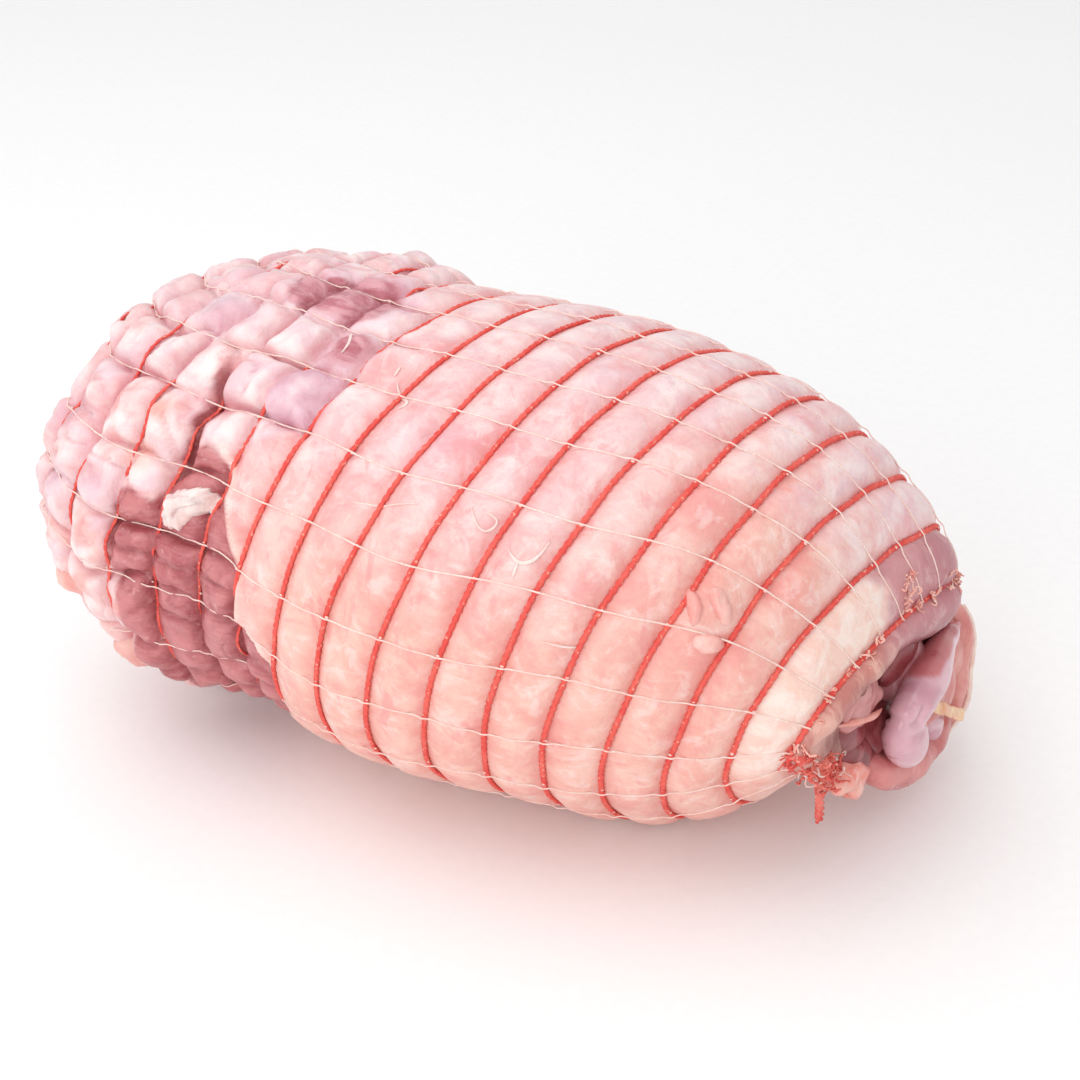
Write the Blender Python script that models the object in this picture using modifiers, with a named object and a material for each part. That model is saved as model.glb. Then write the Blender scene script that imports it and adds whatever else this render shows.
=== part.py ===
"""A boned leg of lamb, rolled and held in an elastic roasting net.

The roll lies along X with its open, shank end at +X and rests on a small flat at z = 0.
Every place on the roll is given by a ring number, 0 at the shank mouth to 20 at the far
end, and an angle about X that runs from +Y (0) over the top (90) to the -Y side (180).
"""

import bmesh
import bpy
import numpy as np

MM = 0.001

# Cross-sections of the roll at some of the net's rings, in millimetres
STATION_RINGS = (0, 2, 5, 8, 11, 13, 15)
HALF_WIDTH = (40.5, 51.5, 64.5, 69.5, 64.0, 66.0, 66.5)
HALF_HEIGHT = (17.5, 45.0, 58.5, 61.5, 58.5, 60.5, 48.5)
CENTRE_Y = (8.5, 4.0, -3.0, -4.5, -5.5, -5.0, 4.0)
CENTRE_Z = (48.0, 51.0, 59.5, 61.0, 62.5, 60.5, 64.5)

# Place and lean of the planes that the rings lie in
PLANE_RINGS = (0, 5, 10, 15)
PLANE_X = (99.0, 40.5, -32.0, -90.5)
PLANE_YAW = (0.025, 0.055, 0.11, 0.31)
PLANE_PITCH = (0.31, 0.265, 0.21, 0.02)

# The far end is drawn in on its +Y side
TUCK_RINGS = (9.0, 15.0)
TUCK_WIDTH = 0.25
TUCK_YAW = 0.7

# Lip and pit of the mouth, and the rounded far end beyond the fifteenth ring
MOUTH_LIP = 5.0
MOUTH_PIT = 8.0
FAR_DOME = 30.0
FAR_LEAN = 0.9
LAST_LOFTED_RING = 15
LAST_RING = 20
FAR_POLE = 21

# The roll's own weight presses a flat along its underside
FLAT_HEIGHT = 2.0
FLAT_SOFTNESS = 1.2

# Swellings and hollows: ring, angle in degrees, height in mm, spread in rings, spread in degrees
LUMPS = (
    (12.6, 59.0, 4.0, 1.2, 11.0),
    (14.8, 213.0, 3.0, 1.3, 18.0),
    (15.9, 118.0, 4.5, 1.2, 17.0),
    (11.3, 229.0, 3.2, 1.9, 18.0),
    (12.3, 128.0, -2.5, 0.7, 12.0),
    (11.3, 150.0, -2.5, 0.9, 12.0),
    (11.6, 185.0, -1.5, 1.5, 25.0),
    (2.6, 140.0, 1.2, 0.7, 8.0),
    (0.7, 52.0, 5.0, 1.4, 24.0),
    (3.2, 66.0, 1.4, 1.4, 16.0),
    (1.1, 235.0, 3.0, 1.0, 20.0),
    (2.8, 243.0, 2.0, 1.0, 14.0),
)

# The net: knitted elastic bands round the roll and thin threads along it
BAND_WIDTH = 1.8
THREAD_WIDTH = 0.7
NET_THICKNESS = 1.0
SHOWN_THREAD_ANGLES = (64.0, 79.0, 92.0, 105.5, 119.0, 135.0, 152.5, 171.0, 189.0, 209.0)
SHOWN_THREAD_DRIFTS = (2.8, -0.3, 1.2, 1.8, 1.7, 0.0, 0.3, -0.8, -3.3, -2.2)
HIDDEN_THREADS = 9
TWIST = (3.0, -8.65, 2.7)
TWIST_MIDDLE_RING = 7.0

# The meat bulges between the net's bands and threads
BAND_GROOVE = 2.4
FAR_BAND_GROOVE = 3.8
THREAD_GROOVE = 1.1
CREST_HEIGHT = 1.6
FULL_PITCH = 12.0
DENT_ROOM = 0.45

# The whole model is moved so that the middle of its base is the origin
CENTRE_SHIFT = (3.5, 5.05, -0.52)

# Lobes of the folded shank muscle: points in mm, radii in mm, flattening
SHANK_LOBES = {
    "shank_root": (((80, 12, 48), (93, 19, 46), (104, 27, 37)), (11, 11, 10), 0.9),
    "silverskin_lobe": (
        ((105, 50, 42), (108, 35, 45), (109, 20, 45), (108.5, 9, 39.5), (107, 13, 26)),
        (3.6, 5.0, 6.0, 7.6, 6.8),
        1.0,
    ),
    "far_flap": (
        ((101, 54, 45), (104, 53.5, 37), (104.5, 51.5, 27), (105, 49, 18), (104, 42, 12)),
        (4.0, 4.4, 5.0, 5.0, 4.0),
        0.9,
    ),
    "lower_muscle": (
        ((100.5, 4, 29), (102.5, 15, 20.5), (103.5, 29, 14.5), (104.5, 41, 15)),
        (4.5, 5.5, 5.5, 5.0),
        0.9,
    ),
    "inner_fold": (((99, 8, 33), (102, 26, 30), (103, 48, 28)), (7, 13, 8), 0.5),
    "mouth_flap": (((98, -18, 47), (102, -10, 47), (104, 1, 45)), (3.0, 3.8, 2.6), 0.8),
    "dark_fold": (((97, -8, 39), (99, 0, 34), (101, 8, 29)), (4.5, 5.5, 4.5), 0.9),
    "fat_scrap": (((98, -5, 26), (100, 0.5, 20), (101, 8, 22)), (3.6, 4.6, 4.0), 0.9),
    "tendon": (((106, 18, 37), (109.5, 31, 28.5), (112, 40.5, 21.5)), (3.0, 2.0, 1.4), 0.6),
}

# The drawn-in end of the net hangs from the mouth as a knot with a loose end
KNOT_LOBES = {
    "knot_start": (((96.8, -31, 44.5), (99, -28, 45), (100.5, -23, 41)), (1.6, 2.6, 3.0), 0.9),
    "knot_middle": (((100.5, -25, 43), (100, -18, 37.5), (98.5, -11, 29.5)), (3.0, 3.8, 2.6), 0.9),
    "loose_end": (((99.5, -18, 36), (98.3, -15.5, 28.5), (97.5, -12.5, 16.5)), (1.8, 1.3, 1.2), 1.0),
}

LOBE_SIDES = 10
LOBE_ROWS = 8
LOBE_FULLNESS = 0.7


def natural_spline(knots, values):
    """A smooth curve through the values, with no bending at its two ends."""
    x = np.asarray(knots, float)
    y = np.asarray(values, float)
    gap = np.diff(x)
    system = np.eye(len(x))
    right = np.zeros(len(x))
    for i in range(1, len(x) - 1):
        system[i, i - 1] = gap[i - 1]
        system[i, i] = 2 * (gap[i - 1] + gap[i])
        system[i, i + 1] = gap[i]
        right[i] = 6 * ((y[i + 1] - y[i]) / gap[i] - (y[i] - y[i - 1]) / gap[i - 1])
    bend = np.linalg.solve(system, right)

    def curve(at):
        i = int(np.clip(np.searchsorted(x, at) - 1, 0, len(gap) - 1))
        left = (at - x[i]) / gap[i]
        rest = 1 - left
        level = rest * y[i] + left * y[i + 1]
        return level + gap[i] ** 2 / 6 * ((rest**3 - rest) * bend[i] + (left**3 - left) * bend[i + 1])

    return curve


half_width = natural_spline(STATION_RINGS, HALF_WIDTH)
half_height = natural_spline(STATION_RINGS, HALF_HEIGHT)
centre_y = natural_spline(STATION_RINGS, CENTRE_Y)
centre_z = natural_spline(STATION_RINGS, CENTRE_Z)
plane_x = natural_spline(PLANE_RINGS, PLANE_X)
plane_yaw = natural_spline(PLANE_RINGS, PLANE_YAW)
plane_pitch = natural_spline(PLANE_RINGS, PLANE_PITCH)


def thread_angles():
    """Angle of each thread at the middle ring, in degrees, and its own drift along the roll."""
    first = SHOWN_THREAD_ANGLES[0]
    last = SHOWN_THREAD_ANGLES[-1]
    hidden = np.linspace(last, first + 360, HIDDEN_THREADS + 2)[1:-1]
    angles = np.concatenate([SHOWN_THREAD_ANGLES, hidden])
    drifts = np.concatenate([SHOWN_THREAD_DRIFTS, np.zeros(HIDDEN_THREADS)])
    return angles, drifts


THREAD_ANGLES, THREAD_DRIFTS = thread_angles()
THREAD_COUNT = len(THREAD_ANGLES)


def thread_angle(ring, thread):
    """Angle in degrees at a ring of a thread, or of the place between two threads."""
    low = int(np.floor(thread))
    part = thread - low
    turns = [360.0 * ((low + k) // THREAD_COUNT) for k in (0, 1)]
    along = (ring - TWIST_MIDDLE_RING) / TWIST_MIDDLE_RING
    ends = []
    for k in (0, 1):
        index = (low + k) % THREAD_COUNT
        ends.append(THREAD_ANGLES[index] + turns[k] + THREAD_DRIFTS[index] * along)
    twist = TWIST[0] * along + TWIST[1] * along**2 + TWIST[2] * along**3
    return (1 - part) * ends[0] + part * ends[1] + twist


def tuck(ring):
    """How far the far end is drawn in, rising smoothly from 0 to 1."""
    part = float(np.clip((ring - TUCK_RINGS[0]) / (TUCK_RINGS[1] - TUCK_RINGS[0]), 0, 1))
    return part * part * (3 - 2 * part)


def lofted(ring, angle):
    """A point of the smooth roll, before its swellings and its flat."""
    station = float(np.clip(ring, 0, LAST_LOFTED_RING))
    shrink = 1.0
    rise = 0.0
    if ring < 0:
        turn = -ring * np.pi / 2
        shrink = np.cos(turn)
        rise = MOUTH_LIP * np.sin(2 * turn) - MOUTH_PIT * (1 - shrink) ** 2
    elif ring > LAST_LOFTED_RING:
        turn = (ring - LAST_LOFTED_RING) / (FAR_POLE - LAST_LOFTED_RING) * np.pi / 2
        shrink = np.cos(turn)
        rise = FAR_DOME * np.sin(turn)
    back = tuck(station) * max(np.cos(angle), 0.0)
    y = half_width(station) * np.cos(angle) * shrink * (1 - TUCK_WIDTH * back)
    z = half_height(station) * np.sin(angle) * shrink
    yaw = plane_yaw(station)
    pitch = plane_pitch(station)
    outward = np.array([1.0, -yaw, -pitch])
    if ring > LAST_LOFTED_RING:
        outward = np.array([-1.0, FAR_LEAN, 0.0])
    outward /= np.linalg.norm(outward)
    middle = np.array([plane_x(station), centre_y(station), centre_z(station)])
    lean = yaw * (1 - TUCK_YAW * back) * y + pitch * z
    return middle + np.array([lean, y, z]) + rise * outward


def flattened(point):
    """The point, held above the flat that the roll rests on."""
    above = point[2] - FLAT_HEIGHT
    lifted = FLAT_HEIGHT + 0.5 * (above + np.hypot(above, FLAT_SOFTNESS))
    return np.array([point[0], point[1], lifted])


def lump_height(ring, angle):
    total = 0.0
    for at_ring, at_angle, height, ring_spread, angle_spread in LUMPS:
        turn = (np.degrees(angle) - at_angle + 180.0) % 360.0 - 180.0
        total += height * np.exp(-(((ring - at_ring) / ring_spread) ** 2) - (turn / angle_spread) ** 2)
    return total


def skin_with_axes(ring, thread):
    """A point where the net lies, with the directions along the roll, round it and out of it."""
    step = 0.02
    angle = np.radians(thread_angle(ring, thread))
    point = flattened(lofted(ring, angle))
    lengthwise = flattened(lofted(ring + step, angle)) - flattened(lofted(ring - step, angle))
    around = flattened(lofted(ring, angle + step)) - flattened(lofted(ring, angle - step))
    out = np.cross(lengthwise, around)
    out /= np.linalg.norm(out) + 1e-12
    lengthwise /= np.linalg.norm(lengthwise) + 1e-12
    around /= np.linalg.norm(around) + 1e-12
    return point + lump_height(ring, angle) * out, lengthwise, around, out


def skin(ring, thread):
    return skin_with_axes(ring, thread)[0]


def quilted(ring, thread):
    """A point of the meat: sunk under the bands and threads, full between them."""
    point, _, _, out = skin_with_axes(ring, thread)
    if ring < 0 or ring > LAST_RING:
        return point
    on_band = float(ring).is_integer()
    on_thread = float(thread).is_integer()
    groove = BAND_GROOVE if ring < LAST_LOFTED_RING else FAR_BAND_GROOVE
    if on_band and on_thread:
        return point - groove * out
    if on_band:
        straight = (skin(ring, thread - 0.5) + skin(ring, thread + 0.5)) / 2
        return straight - groove * out
    if on_thread:
        straight = (skin(ring - 0.5, thread) + skin(ring + 0.5, thread)) / 2
        return straight - THREAD_GROOVE * out
    room = np.linalg.norm(skin(ring + 0.5, thread) - skin(ring - 0.5, thread))
    return point + CREST_HEIGHT * min(room / FULL_PITCH, 1.0) ** 3 * out


def shifted(point):
    return [(value + shift) * MM for value, shift in zip(point, CENTRE_SHIFT)]


def new_object(name, mesh, collection):
    made = bpy.data.objects.new(name, mesh)
    collection.objects.link(made)
    return made


def sphere_place(vertex, rows, sides):
    """Row from the top pole and side round the axis of a uv sphere's vertex."""
    row = round(np.arccos(np.clip(vertex.co.z, -1, 1)) / np.pi * rows)
    turns = np.arctan2(vertex.co.y, vertex.co.x) / (2 * np.pi)
    return row, int(np.floor(turns * sides + 0.25)) % sides


def face_outwards(mesh):
    """Turns a closed mesh's faces round if they point inwards."""
    shape = bmesh.new()
    shape.from_mesh(mesh)
    if shape.calc_volume(signed=True) < 0:
        bmesh.ops.reverse_faces(shape, faces=shape.faces)
        shape.to_mesh(mesh)
    shape.free()


def shaped_sphere(name, sides, rows, place, collection):
    """A sphere whose vertices are put where place(row, side) says; rows run from pole to pole."""
    shape = bmesh.new()
    bmesh.ops.create_uvsphere(shape, u_segments=sides, v_segments=rows, radius=1.0)
    for vertex in shape.verts:
        vertex.co = shifted(place(*sphere_place(vertex, rows, sides)))
    mesh = bpy.data.meshes.new(name)
    shape.to_mesh(mesh)
    shape.free()
    face_outwards(mesh)
    return new_object(name, mesh, collection)


def lobe(name, points, radii, flat, collection, room=0.0):
    """A rounded strip of meat or yarn that follows the points."""
    knots = np.linspace(0, 1, len(points))
    path = [natural_spline(knots, [point[axis] for point in points]) for axis in range(3)]
    radius = natural_spline(knots, radii)

    def centre(along):
        return np.array([axis(along) for axis in path])

    def place(row, side):
        turn = row / LOBE_ROWS * np.pi
        along = (1 - np.cos(turn)) / 2
        tangent = centre(along + 0.01) - centre(along - 0.01)
        tangent /= np.linalg.norm(tangent)
        across = np.cross(tangent, [1.0, 0.0, 0.0])
        across /= np.linalg.norm(across)
        deep = np.cross(across, tangent)
        reach = radius(along) * max(np.sin(turn), 0.0) ** LOBE_FULLNESS + room * np.sin(turn)
        spin = side / LOBE_SIDES * 2 * np.pi
        end_room = -room * np.cos(turn) * tangent
        return centre(along) + end_room + reach * (np.cos(spin) * across + flat * np.sin(spin) * deep)

    return shaped_sphere(name, LOBE_SIDES, LOBE_ROWS, place, collection)


def make_body(collection):
    """The rolled meat itself, from the shank mouth to the far end."""
    mouth_rows = [-0.75, -0.5, -0.25]
    quilt_rows = [k / 2 for k in range(2 * LAST_RING + 2)]
    rings = mouth_rows + quilt_rows
    middle_of_mouth = lofted(-1.0, 0.0)
    middle_of_far_end = lofted(float(FAR_POLE), 0.0)

    def place(row, side):
        if row == 0:
            return middle_of_mouth
        if row > len(rings):
            return middle_of_far_end
        return quilted(rings[row - 1], side / 2)

    return shaped_sphere("body", 2 * THREAD_COUNT, len(rings) + 1, place, collection)


def combine(target, operation, collection):
    """Joins to the target, or cuts from it, all that the collection holds, and then removes it."""
    modifier = target.modifiers.new(operation.lower(), "BOOLEAN")
    modifier.operation = operation
    modifier.operand_type = "COLLECTION"
    modifier.collection = collection
    modifier.solver = "EXACT"
    graph = bpy.context.evaluated_depsgraph_get()
    mesh = bpy.data.meshes.new_from_object(target.evaluated_get(graph))
    target.modifiers.clear()
    target.data = mesh
    for used in list(collection.objects):
        bpy.data.objects.remove(used)
    bpy.data.collections.remove(collection)


def helper_collection(name):
    made = bpy.data.collections.new(name)
    bpy.context.scene.collection.children.link(made)
    return made


def make_meat(collection):
    """The roll with its folded shank, dented where the knot presses on it."""
    meat = make_body(collection)
    meat.name = "meat"
    joined = helper_collection("shank_lobes")
    for name, (points, radii, flat) in SHANK_LOBES.items():
        lobe(name, points, radii, flat, joined)
    combine(meat, "UNION", joined)
    dents = helper_collection("knot_dents")
    for name, (points, radii, flat) in KNOT_LOBES.items():
        lobe(name + "_dent", points, radii, flat, dents, room=DENT_ROOM)
    combine(meat, "DIFFERENCE", dents)
    return meat


def make_lattice(collection):
    """The knitted bands and threads as one open-meshed sleeve."""
    rows = 2 * (LAST_RING + 1)
    sides = 2 * THREAD_COUNT
    shape = bmesh.new()
    bmesh.ops.create_uvsphere(shape, u_segments=sides, v_segments=rows + 1, radius=1.0)
    grid = {vertex: sphere_place(vertex, rows + 1, sides) for vertex in shape.verts}
    gone = []
    for face in shape.faces:
        face_rows = [grid[vertex][0] for vertex in face.verts]
        face_sides = sorted({grid[vertex][1] for vertex in face.verts})
        at_pole = min(face_rows) == 0 or max(face_rows) == rows + 1
        in_band = min(face_rows) % 2 == 1
        in_thread = face_sides[0] % 2 == 0 and face_sides[-1] - face_sides[0] == 1
        if at_pole or not (in_band or in_thread):
            gone.append(face)
    bmesh.ops.delete(shape, geom=gone, context="FACES")
    for vertex in shape.verts:
        row, side = grid[vertex]
        point, lengthwise, around, _ = skin_with_axes((row - 1) // 2, side // 2)
        end = BAND_WIDTH / 2 if row % 2 == 0 else -BAND_WIDTH / 2
        edge = THREAD_WIDTH / 2 if side % 2 == 1 else -THREAD_WIDTH / 2
        vertex.co = shifted(point + end * lengthwise + edge * around)
    bmesh.ops.recalc_face_normals(shape, faces=shape.faces)
    mesh = bpy.data.meshes.new("net")
    shape.to_mesh(mesh)
    shape.free()
    net = new_object("net", mesh, collection)
    thicken = net.modifiers.new("thickness", "SOLIDIFY")
    thicken.thickness = NET_THICKNESS * MM
    thicken.offset = 0.0
    graph = bpy.context.evaluated_depsgraph_get()
    solid = bpy.data.meshes.new_from_object(net.evaluated_get(graph))
    face_outwards(solid)
    net.modifiers.clear()
    net.data = solid
    return net


def make_net(collection):
    """The sleeve with the knot and the loose end at its mouth."""
    net = make_lattice(collection)
    joined = helper_collection("knot_lobes")
    for name, (points, radii, flat) in KNOT_LOBES.items():
        lobe(name, points, radii, flat, joined)
    combine(net, "UNION", joined)
    return net


def finish(made, colour, roughness):
    """Gives the object its own plain material and smooth shading."""
    material = bpy.data.materials.new(made.name)
    material.use_nodes = True
    surface = material.node_tree.nodes["Principled BSDF"]
    surface.inputs["Base Color"].default_value = (*colour, 1.0)
    surface.inputs["Roughness"].default_value = roughness
    surface.inputs["Metallic"].default_value = 0.0
    made.data.materials.clear()
    made.data.materials.append(material)
    made.data.shade_smooth()


def main():
    for old in list(bpy.data.objects):
        bpy.data.objects.remove(old)
    leg = bpy.data.collections.new("rolled_leg_of_lamb")
    bpy.context.scene.collection.children.link(leg)
    finish(make_meat(leg), (0.83, 0.52, 0.47), 0.35)
    finish(make_net(leg), (0.72, 0.09, 0.07), 0.75)


main()
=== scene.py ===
"""Looks of the netted leg of lamb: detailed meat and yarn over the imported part, with floor and light.

Every place on the roll is given by a ring number, 0 at the shank mouth to 20 at the far end, and
an angle about X in degrees that runs from +Y (0) over the top (90) to the -Y side (180).
"""

import math

import bpy
import numpy as np
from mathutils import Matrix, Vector


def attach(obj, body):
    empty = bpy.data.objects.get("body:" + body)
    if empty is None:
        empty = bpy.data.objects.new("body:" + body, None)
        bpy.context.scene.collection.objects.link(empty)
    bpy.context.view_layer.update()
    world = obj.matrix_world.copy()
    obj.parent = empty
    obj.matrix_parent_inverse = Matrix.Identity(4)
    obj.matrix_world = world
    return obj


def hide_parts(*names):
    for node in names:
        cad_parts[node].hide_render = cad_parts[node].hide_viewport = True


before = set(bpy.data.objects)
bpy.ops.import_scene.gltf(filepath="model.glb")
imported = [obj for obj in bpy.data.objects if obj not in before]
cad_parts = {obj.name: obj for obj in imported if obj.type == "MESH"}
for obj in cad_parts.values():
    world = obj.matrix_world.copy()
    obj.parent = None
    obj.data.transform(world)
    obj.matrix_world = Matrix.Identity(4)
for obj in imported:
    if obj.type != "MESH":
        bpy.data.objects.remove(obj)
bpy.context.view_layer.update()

MM = 0.001

# The roll's measures, in millimetres, as the part's source has them
STATION_RINGS = (0, 2, 5, 8, 11, 13, 15)
HALF_WIDTH = (40.5, 51.5, 64.5, 69.5, 64.0, 66.0, 66.5)
HALF_HEIGHT = (17.5, 45.0, 58.5, 61.5, 58.5, 60.5, 48.5)
CENTRE_Y = (8.5, 4.0, -3.0, -4.5, -5.5, -5.0, 4.0)
CENTRE_Z = (48.0, 51.0, 59.5, 61.0, 62.5, 60.5, 64.5)
PLANE_RINGS = (0, 5, 10, 15)
PLANE_X = (99.0, 40.5, -32.0, -90.5)
PLANE_YAW = (0.025, 0.055, 0.11, 0.31)
PLANE_PITCH = (0.31, 0.265, 0.21, 0.02)
TUCK_RINGS = (9.0, 15.0)
TUCK_WIDTH = 0.25
TUCK_YAW = 0.7
MOUTH_LIP = 5.0
MOUTH_PIT = 8.0
FAR_DOME = 30.0
FAR_LEAN = 0.9
LAST_LOFTED_RING = 15
LAST_RING = 20
FAR_POLE = 21
FLAT_HEIGHT = 2.0
FLAT_SOFTNESS = 1.2
LUMPS = (
    (12.6, 59.0, 4.0, 1.2, 11.0),
    (14.8, 213.0, 3.0, 1.3, 18.0),
    (15.9, 118.0, 4.5, 1.2, 17.0),
    (11.3, 229.0, 3.2, 1.9, 18.0),
    (12.3, 128.0, -2.5, 0.7, 12.0),
    (11.3, 150.0, -2.5, 0.9, 12.0),
    (11.6, 185.0, -1.5, 1.5, 25.0),
    (2.6, 140.0, 1.2, 0.7, 8.0),
    (0.7, 52.0, 5.0, 1.4, 24.0),
    (3.2, 66.0, 1.4, 1.4, 16.0),
    (1.1, 235.0, 3.0, 1.0, 20.0),
    (2.8, 243.0, 2.0, 1.0, 14.0),
)
SHOWN_THREAD_ANGLES = (64.0, 79.0, 92.0, 105.5, 119.0, 135.0, 152.5, 171.0, 189.0, 209.0)
SHOWN_THREAD_DRIFTS = (2.8, -0.3, 1.2, 1.8, 1.7, 0.0, 0.3, -0.8, -3.3, -2.2)
HIDDEN_THREADS = 9
TWIST = (3.0, -8.65, 2.7)
TWIST_MIDDLE_RING = 7.0
CENTRE_SHIFT = np.array([3.5, 5.05, -0.52])

# Fineness of the meat's surface
NEAR_ROWS = 11
DETAILED_ROWS = 18
FAR_ROWS = 9
DETAILED_RINGS = (9, 13)
MOUTH_ROWS = 10
SHOWN_CELL_COLUMNS = 24
HIDDEN_CELL_COLUMNS = 13
CROWDING = 0.4

# Where the smooth fat ends and small plump bulges begin: angle, ring
PLUMP_EDGE = (
    (0, 13.5), (40, 12.5), (60, 11.0), (88, 10.0), (100, 9.4), (125, 9.4), (137, 10.0), (147, 11.1),
    (156, 10.8), (169, 10.1), (188, 9.4), (204, 9.05), (225, 9.3), (250, 10.8), (300, 13.0), (360, 13.5),
)

# Edge of the fat flap that lies over the dark muscle: angle, ring
FLAP_EDGE = (
    (138, 11.95), (147, 11.15), (151, 10.9), (156, 10.8), (162, 10.45), (169, 10.1), (180, 9.95),
    (186, 9.8), (188, 9.4), (194, 9.1), (204, 9.05), (211, 8.9), (225, 9.2), (240, 9.9), (255, 10.8),
)
FLAP_DROP = 2.2

# Outlines on the roll, as rings and angles
DARK_MUSCLE = (
    (11.65, 144), (11.1, 148), (10.9, 151), (10.7, 156), (10.4, 162), (10.1, 169), (9.95, 180),
    (9.75, 186), (9.4, 188), (9.1, 194), (9.05, 204), (8.75, 210), (9.1, 222), (9.8, 238), (10.8, 250),
    (12.1, 243), (12.6, 228), (12.9, 217), (12.6, 198), (12.75, 186), (13.0, 176), (13.0, 166),
    (12.9, 160), (12.6, 158.5), (12.2, 161), (12.0, 157), (12.0, 150), (11.85, 146),
)
TOP_MUSCLE = (
    (12.9, 95), (12.2, 87), (11.3, 84), (10.4, 95), (10.5, 101), (11.0, 105.5), (12.0, 106), (12.7, 102),
)

# A dark red crease that leads up from the dark muscle: rings and angles along it, and its depth in mm
DARK_STRIP = (
    (12.4, 117), (12.3, 121), (12.17, 125), (12.05, 130), (11.97, 137), (11.92, 143), (11.95, 149),
)
DARK_STRIP_DEPTH = 1.5

# Cells of the net with a look of their own: limits as rings, limits as threads, share
WHITE_CELLS = (
    ((11.05, 11.95), (3.05, 3.95), 1.0),
    ((11.05, 11.95), (4.05, 4.95), 1.0),
    ((10.95, 11.6), (5.0, 5.5), 0.8),
    ((12.1, 12.9), (2.1, 2.9), 0.7),
)
PURPLE_CELL = ((10.08, 10.92), (3.08, 3.92))
PURPLE_MIDDLE = (10.42, 3.5)
PURPLE_REACH = 0.32
LILAC_CELL = ((10.0, 11.0), (4.0, 5.0))

# Spots of colour on the skin: ring and angle, radius in mm, strength
LILAC_SPOTS = (
    ((13.4, 110), 11.0, 0.65),
    ((13.45, 163), 6.5, 0.75),
    ((14.6, 168), 8.0, 0.75),
    ((14.9, 150), 6.0, 0.45),
    ((7.9, 128), 8.0, 0.35),
    ((2.1, 49), 5.5, 0.8),
)
BLUSH_SPOTS = (
    ((7.4, 128), 9.0, 0.5),
    ((9.5, 115), 6.0, 0.7),
    ((2.4, 150), 15.0, 0.75),
    ((1.8, 125), 12.0, 0.85),
    ((3.6, 118), 10.0, 0.75),
    ((2.6, 104), 9.0, 0.6),
    ((4.4, 152), 10.0, 0.3),
    ((14.0, 150), 12.0, 0.3),
)
ORANGE_SPOTS = (((12.75, 150), 6.0, 1.0), ((12.7, 139), 4.0, 1.0))
STRETCHED_SPOT = ((1.5, 61), 8.0)

# Relief of the smooth fat in mm: its level between the bands, and the depth and width of its grooves
FAT_LEVEL = 1.5
BAND_GROOVE_DEPTH = 2.0
BAND_GROOVE_WIDTH = 2.7
THREAD_GROOVE_DEPTH = 0.2
THREAD_GROOVE_WIDTH = 1.4
FAT_CREASE_DEPTH = 0.12

# Relief of the plump bulges in mm: their crests, the valleys under the net, and what is evened out on top
CREST_LEVEL = 3.1
VALLEY_DEPTH = 4.9
CORNER_DEPTH = 1.7
BAND_VALLEY_WIDTH = 1.9
THREAD_VALLEY_WIDTH = 1.7
THREAD_VALLEY_SHARE = 0.9
CREASE_DEPTH = 1.1
HALVED_WIDTH = 1.4
HALVED_SHARE = 1.3
WHITE_CELL_RISE = 1.1
EVEN_LEVEL = 2.0
EVEN_SHARE = 0.4
FLAP_RIM_HEIGHT = 0.5

# Noises as height or share, size in mm and seed: waver of the net's lines, lumps, and ragged colour edges
RING_WAVER = (0.13, 9.0, 13)
THREAD_WAVER = (0.17, 9.0, 14)
BULGE_LUMPS = ((1.1, 9.0, 3), (0.75, 4.5, 2), (0.3, 2.4, 4))
BROAD_LUMPS = ((0.5, 26.0, 5), (0.28, 9.0, 6), (0.1, 3.0, 7))
EDGE_WOBBLE = ((1.2, 5.0, 11), (0.7, 2.2, 12))

# Least height of the meat above the floor, and how softly its lowest points are held there, in m
FLOOR_GAP = 0.0003
FLOOR_SOFTNESS = 0.0004


def natural_spline(knots, values):
    """A smooth curve through the values, with no bending at its two ends."""
    x = np.asarray(knots, float)
    y = np.asarray(values, float)
    gap = np.diff(x)
    system = np.eye(len(x))
    right = np.zeros(len(x))
    for i in range(1, len(x) - 1):
        system[i, i - 1] = gap[i - 1]
        system[i, i] = 2 * (gap[i - 1] + gap[i])
        system[i, i + 1] = gap[i]
        right[i] = 6 * ((y[i + 1] - y[i]) / gap[i] - (y[i] - y[i - 1]) / gap[i - 1])
    bend = np.linalg.solve(system, right)

    def curve(at):
        at = np.asarray(at, float)
        i = np.clip(np.searchsorted(x, at) - 1, 0, len(gap) - 1)
        left = (at - x[i]) / gap[i]
        rest = 1 - left
        level = rest * y[i] + left * y[i + 1]
        return level + gap[i] ** 2 / 6 * ((rest**3 - rest) * bend[i] + (left**3 - left) * bend[i + 1])

    return curve


half_width = natural_spline(STATION_RINGS, HALF_WIDTH)
half_height = natural_spline(STATION_RINGS, HALF_HEIGHT)
centre_y = natural_spline(STATION_RINGS, CENTRE_Y)
centre_z = natural_spline(STATION_RINGS, CENTRE_Z)
plane_x = natural_spline(PLANE_RINGS, PLANE_X)
plane_yaw = natural_spline(PLANE_RINGS, PLANE_YAW)
plane_pitch = natural_spline(PLANE_RINGS, PLANE_PITCH)

hidden_angles = np.linspace(SHOWN_THREAD_ANGLES[-1], SHOWN_THREAD_ANGLES[0] + 360, HIDDEN_THREADS + 2)[1:-1]
THREAD_ANGLES = np.concatenate([SHOWN_THREAD_ANGLES, hidden_angles])
THREAD_DRIFTS = np.concatenate([SHOWN_THREAD_DRIFTS, np.zeros(HIDDEN_THREADS)])
THREAD_COUNT = len(THREAD_ANGLES)


def smooth(low, high, value):
    """Rises smoothly from 0 at low to 1 at high."""
    part = np.clip((np.asarray(value, float) - low) / (high - low), 0, 1)
    return part * part * (3 - 2 * part)


def turn_between(angle, other):
    """The angle less the other, in degrees from -180 to 180."""
    return (angle - other + 180.0) % 360.0 - 180.0


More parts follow.
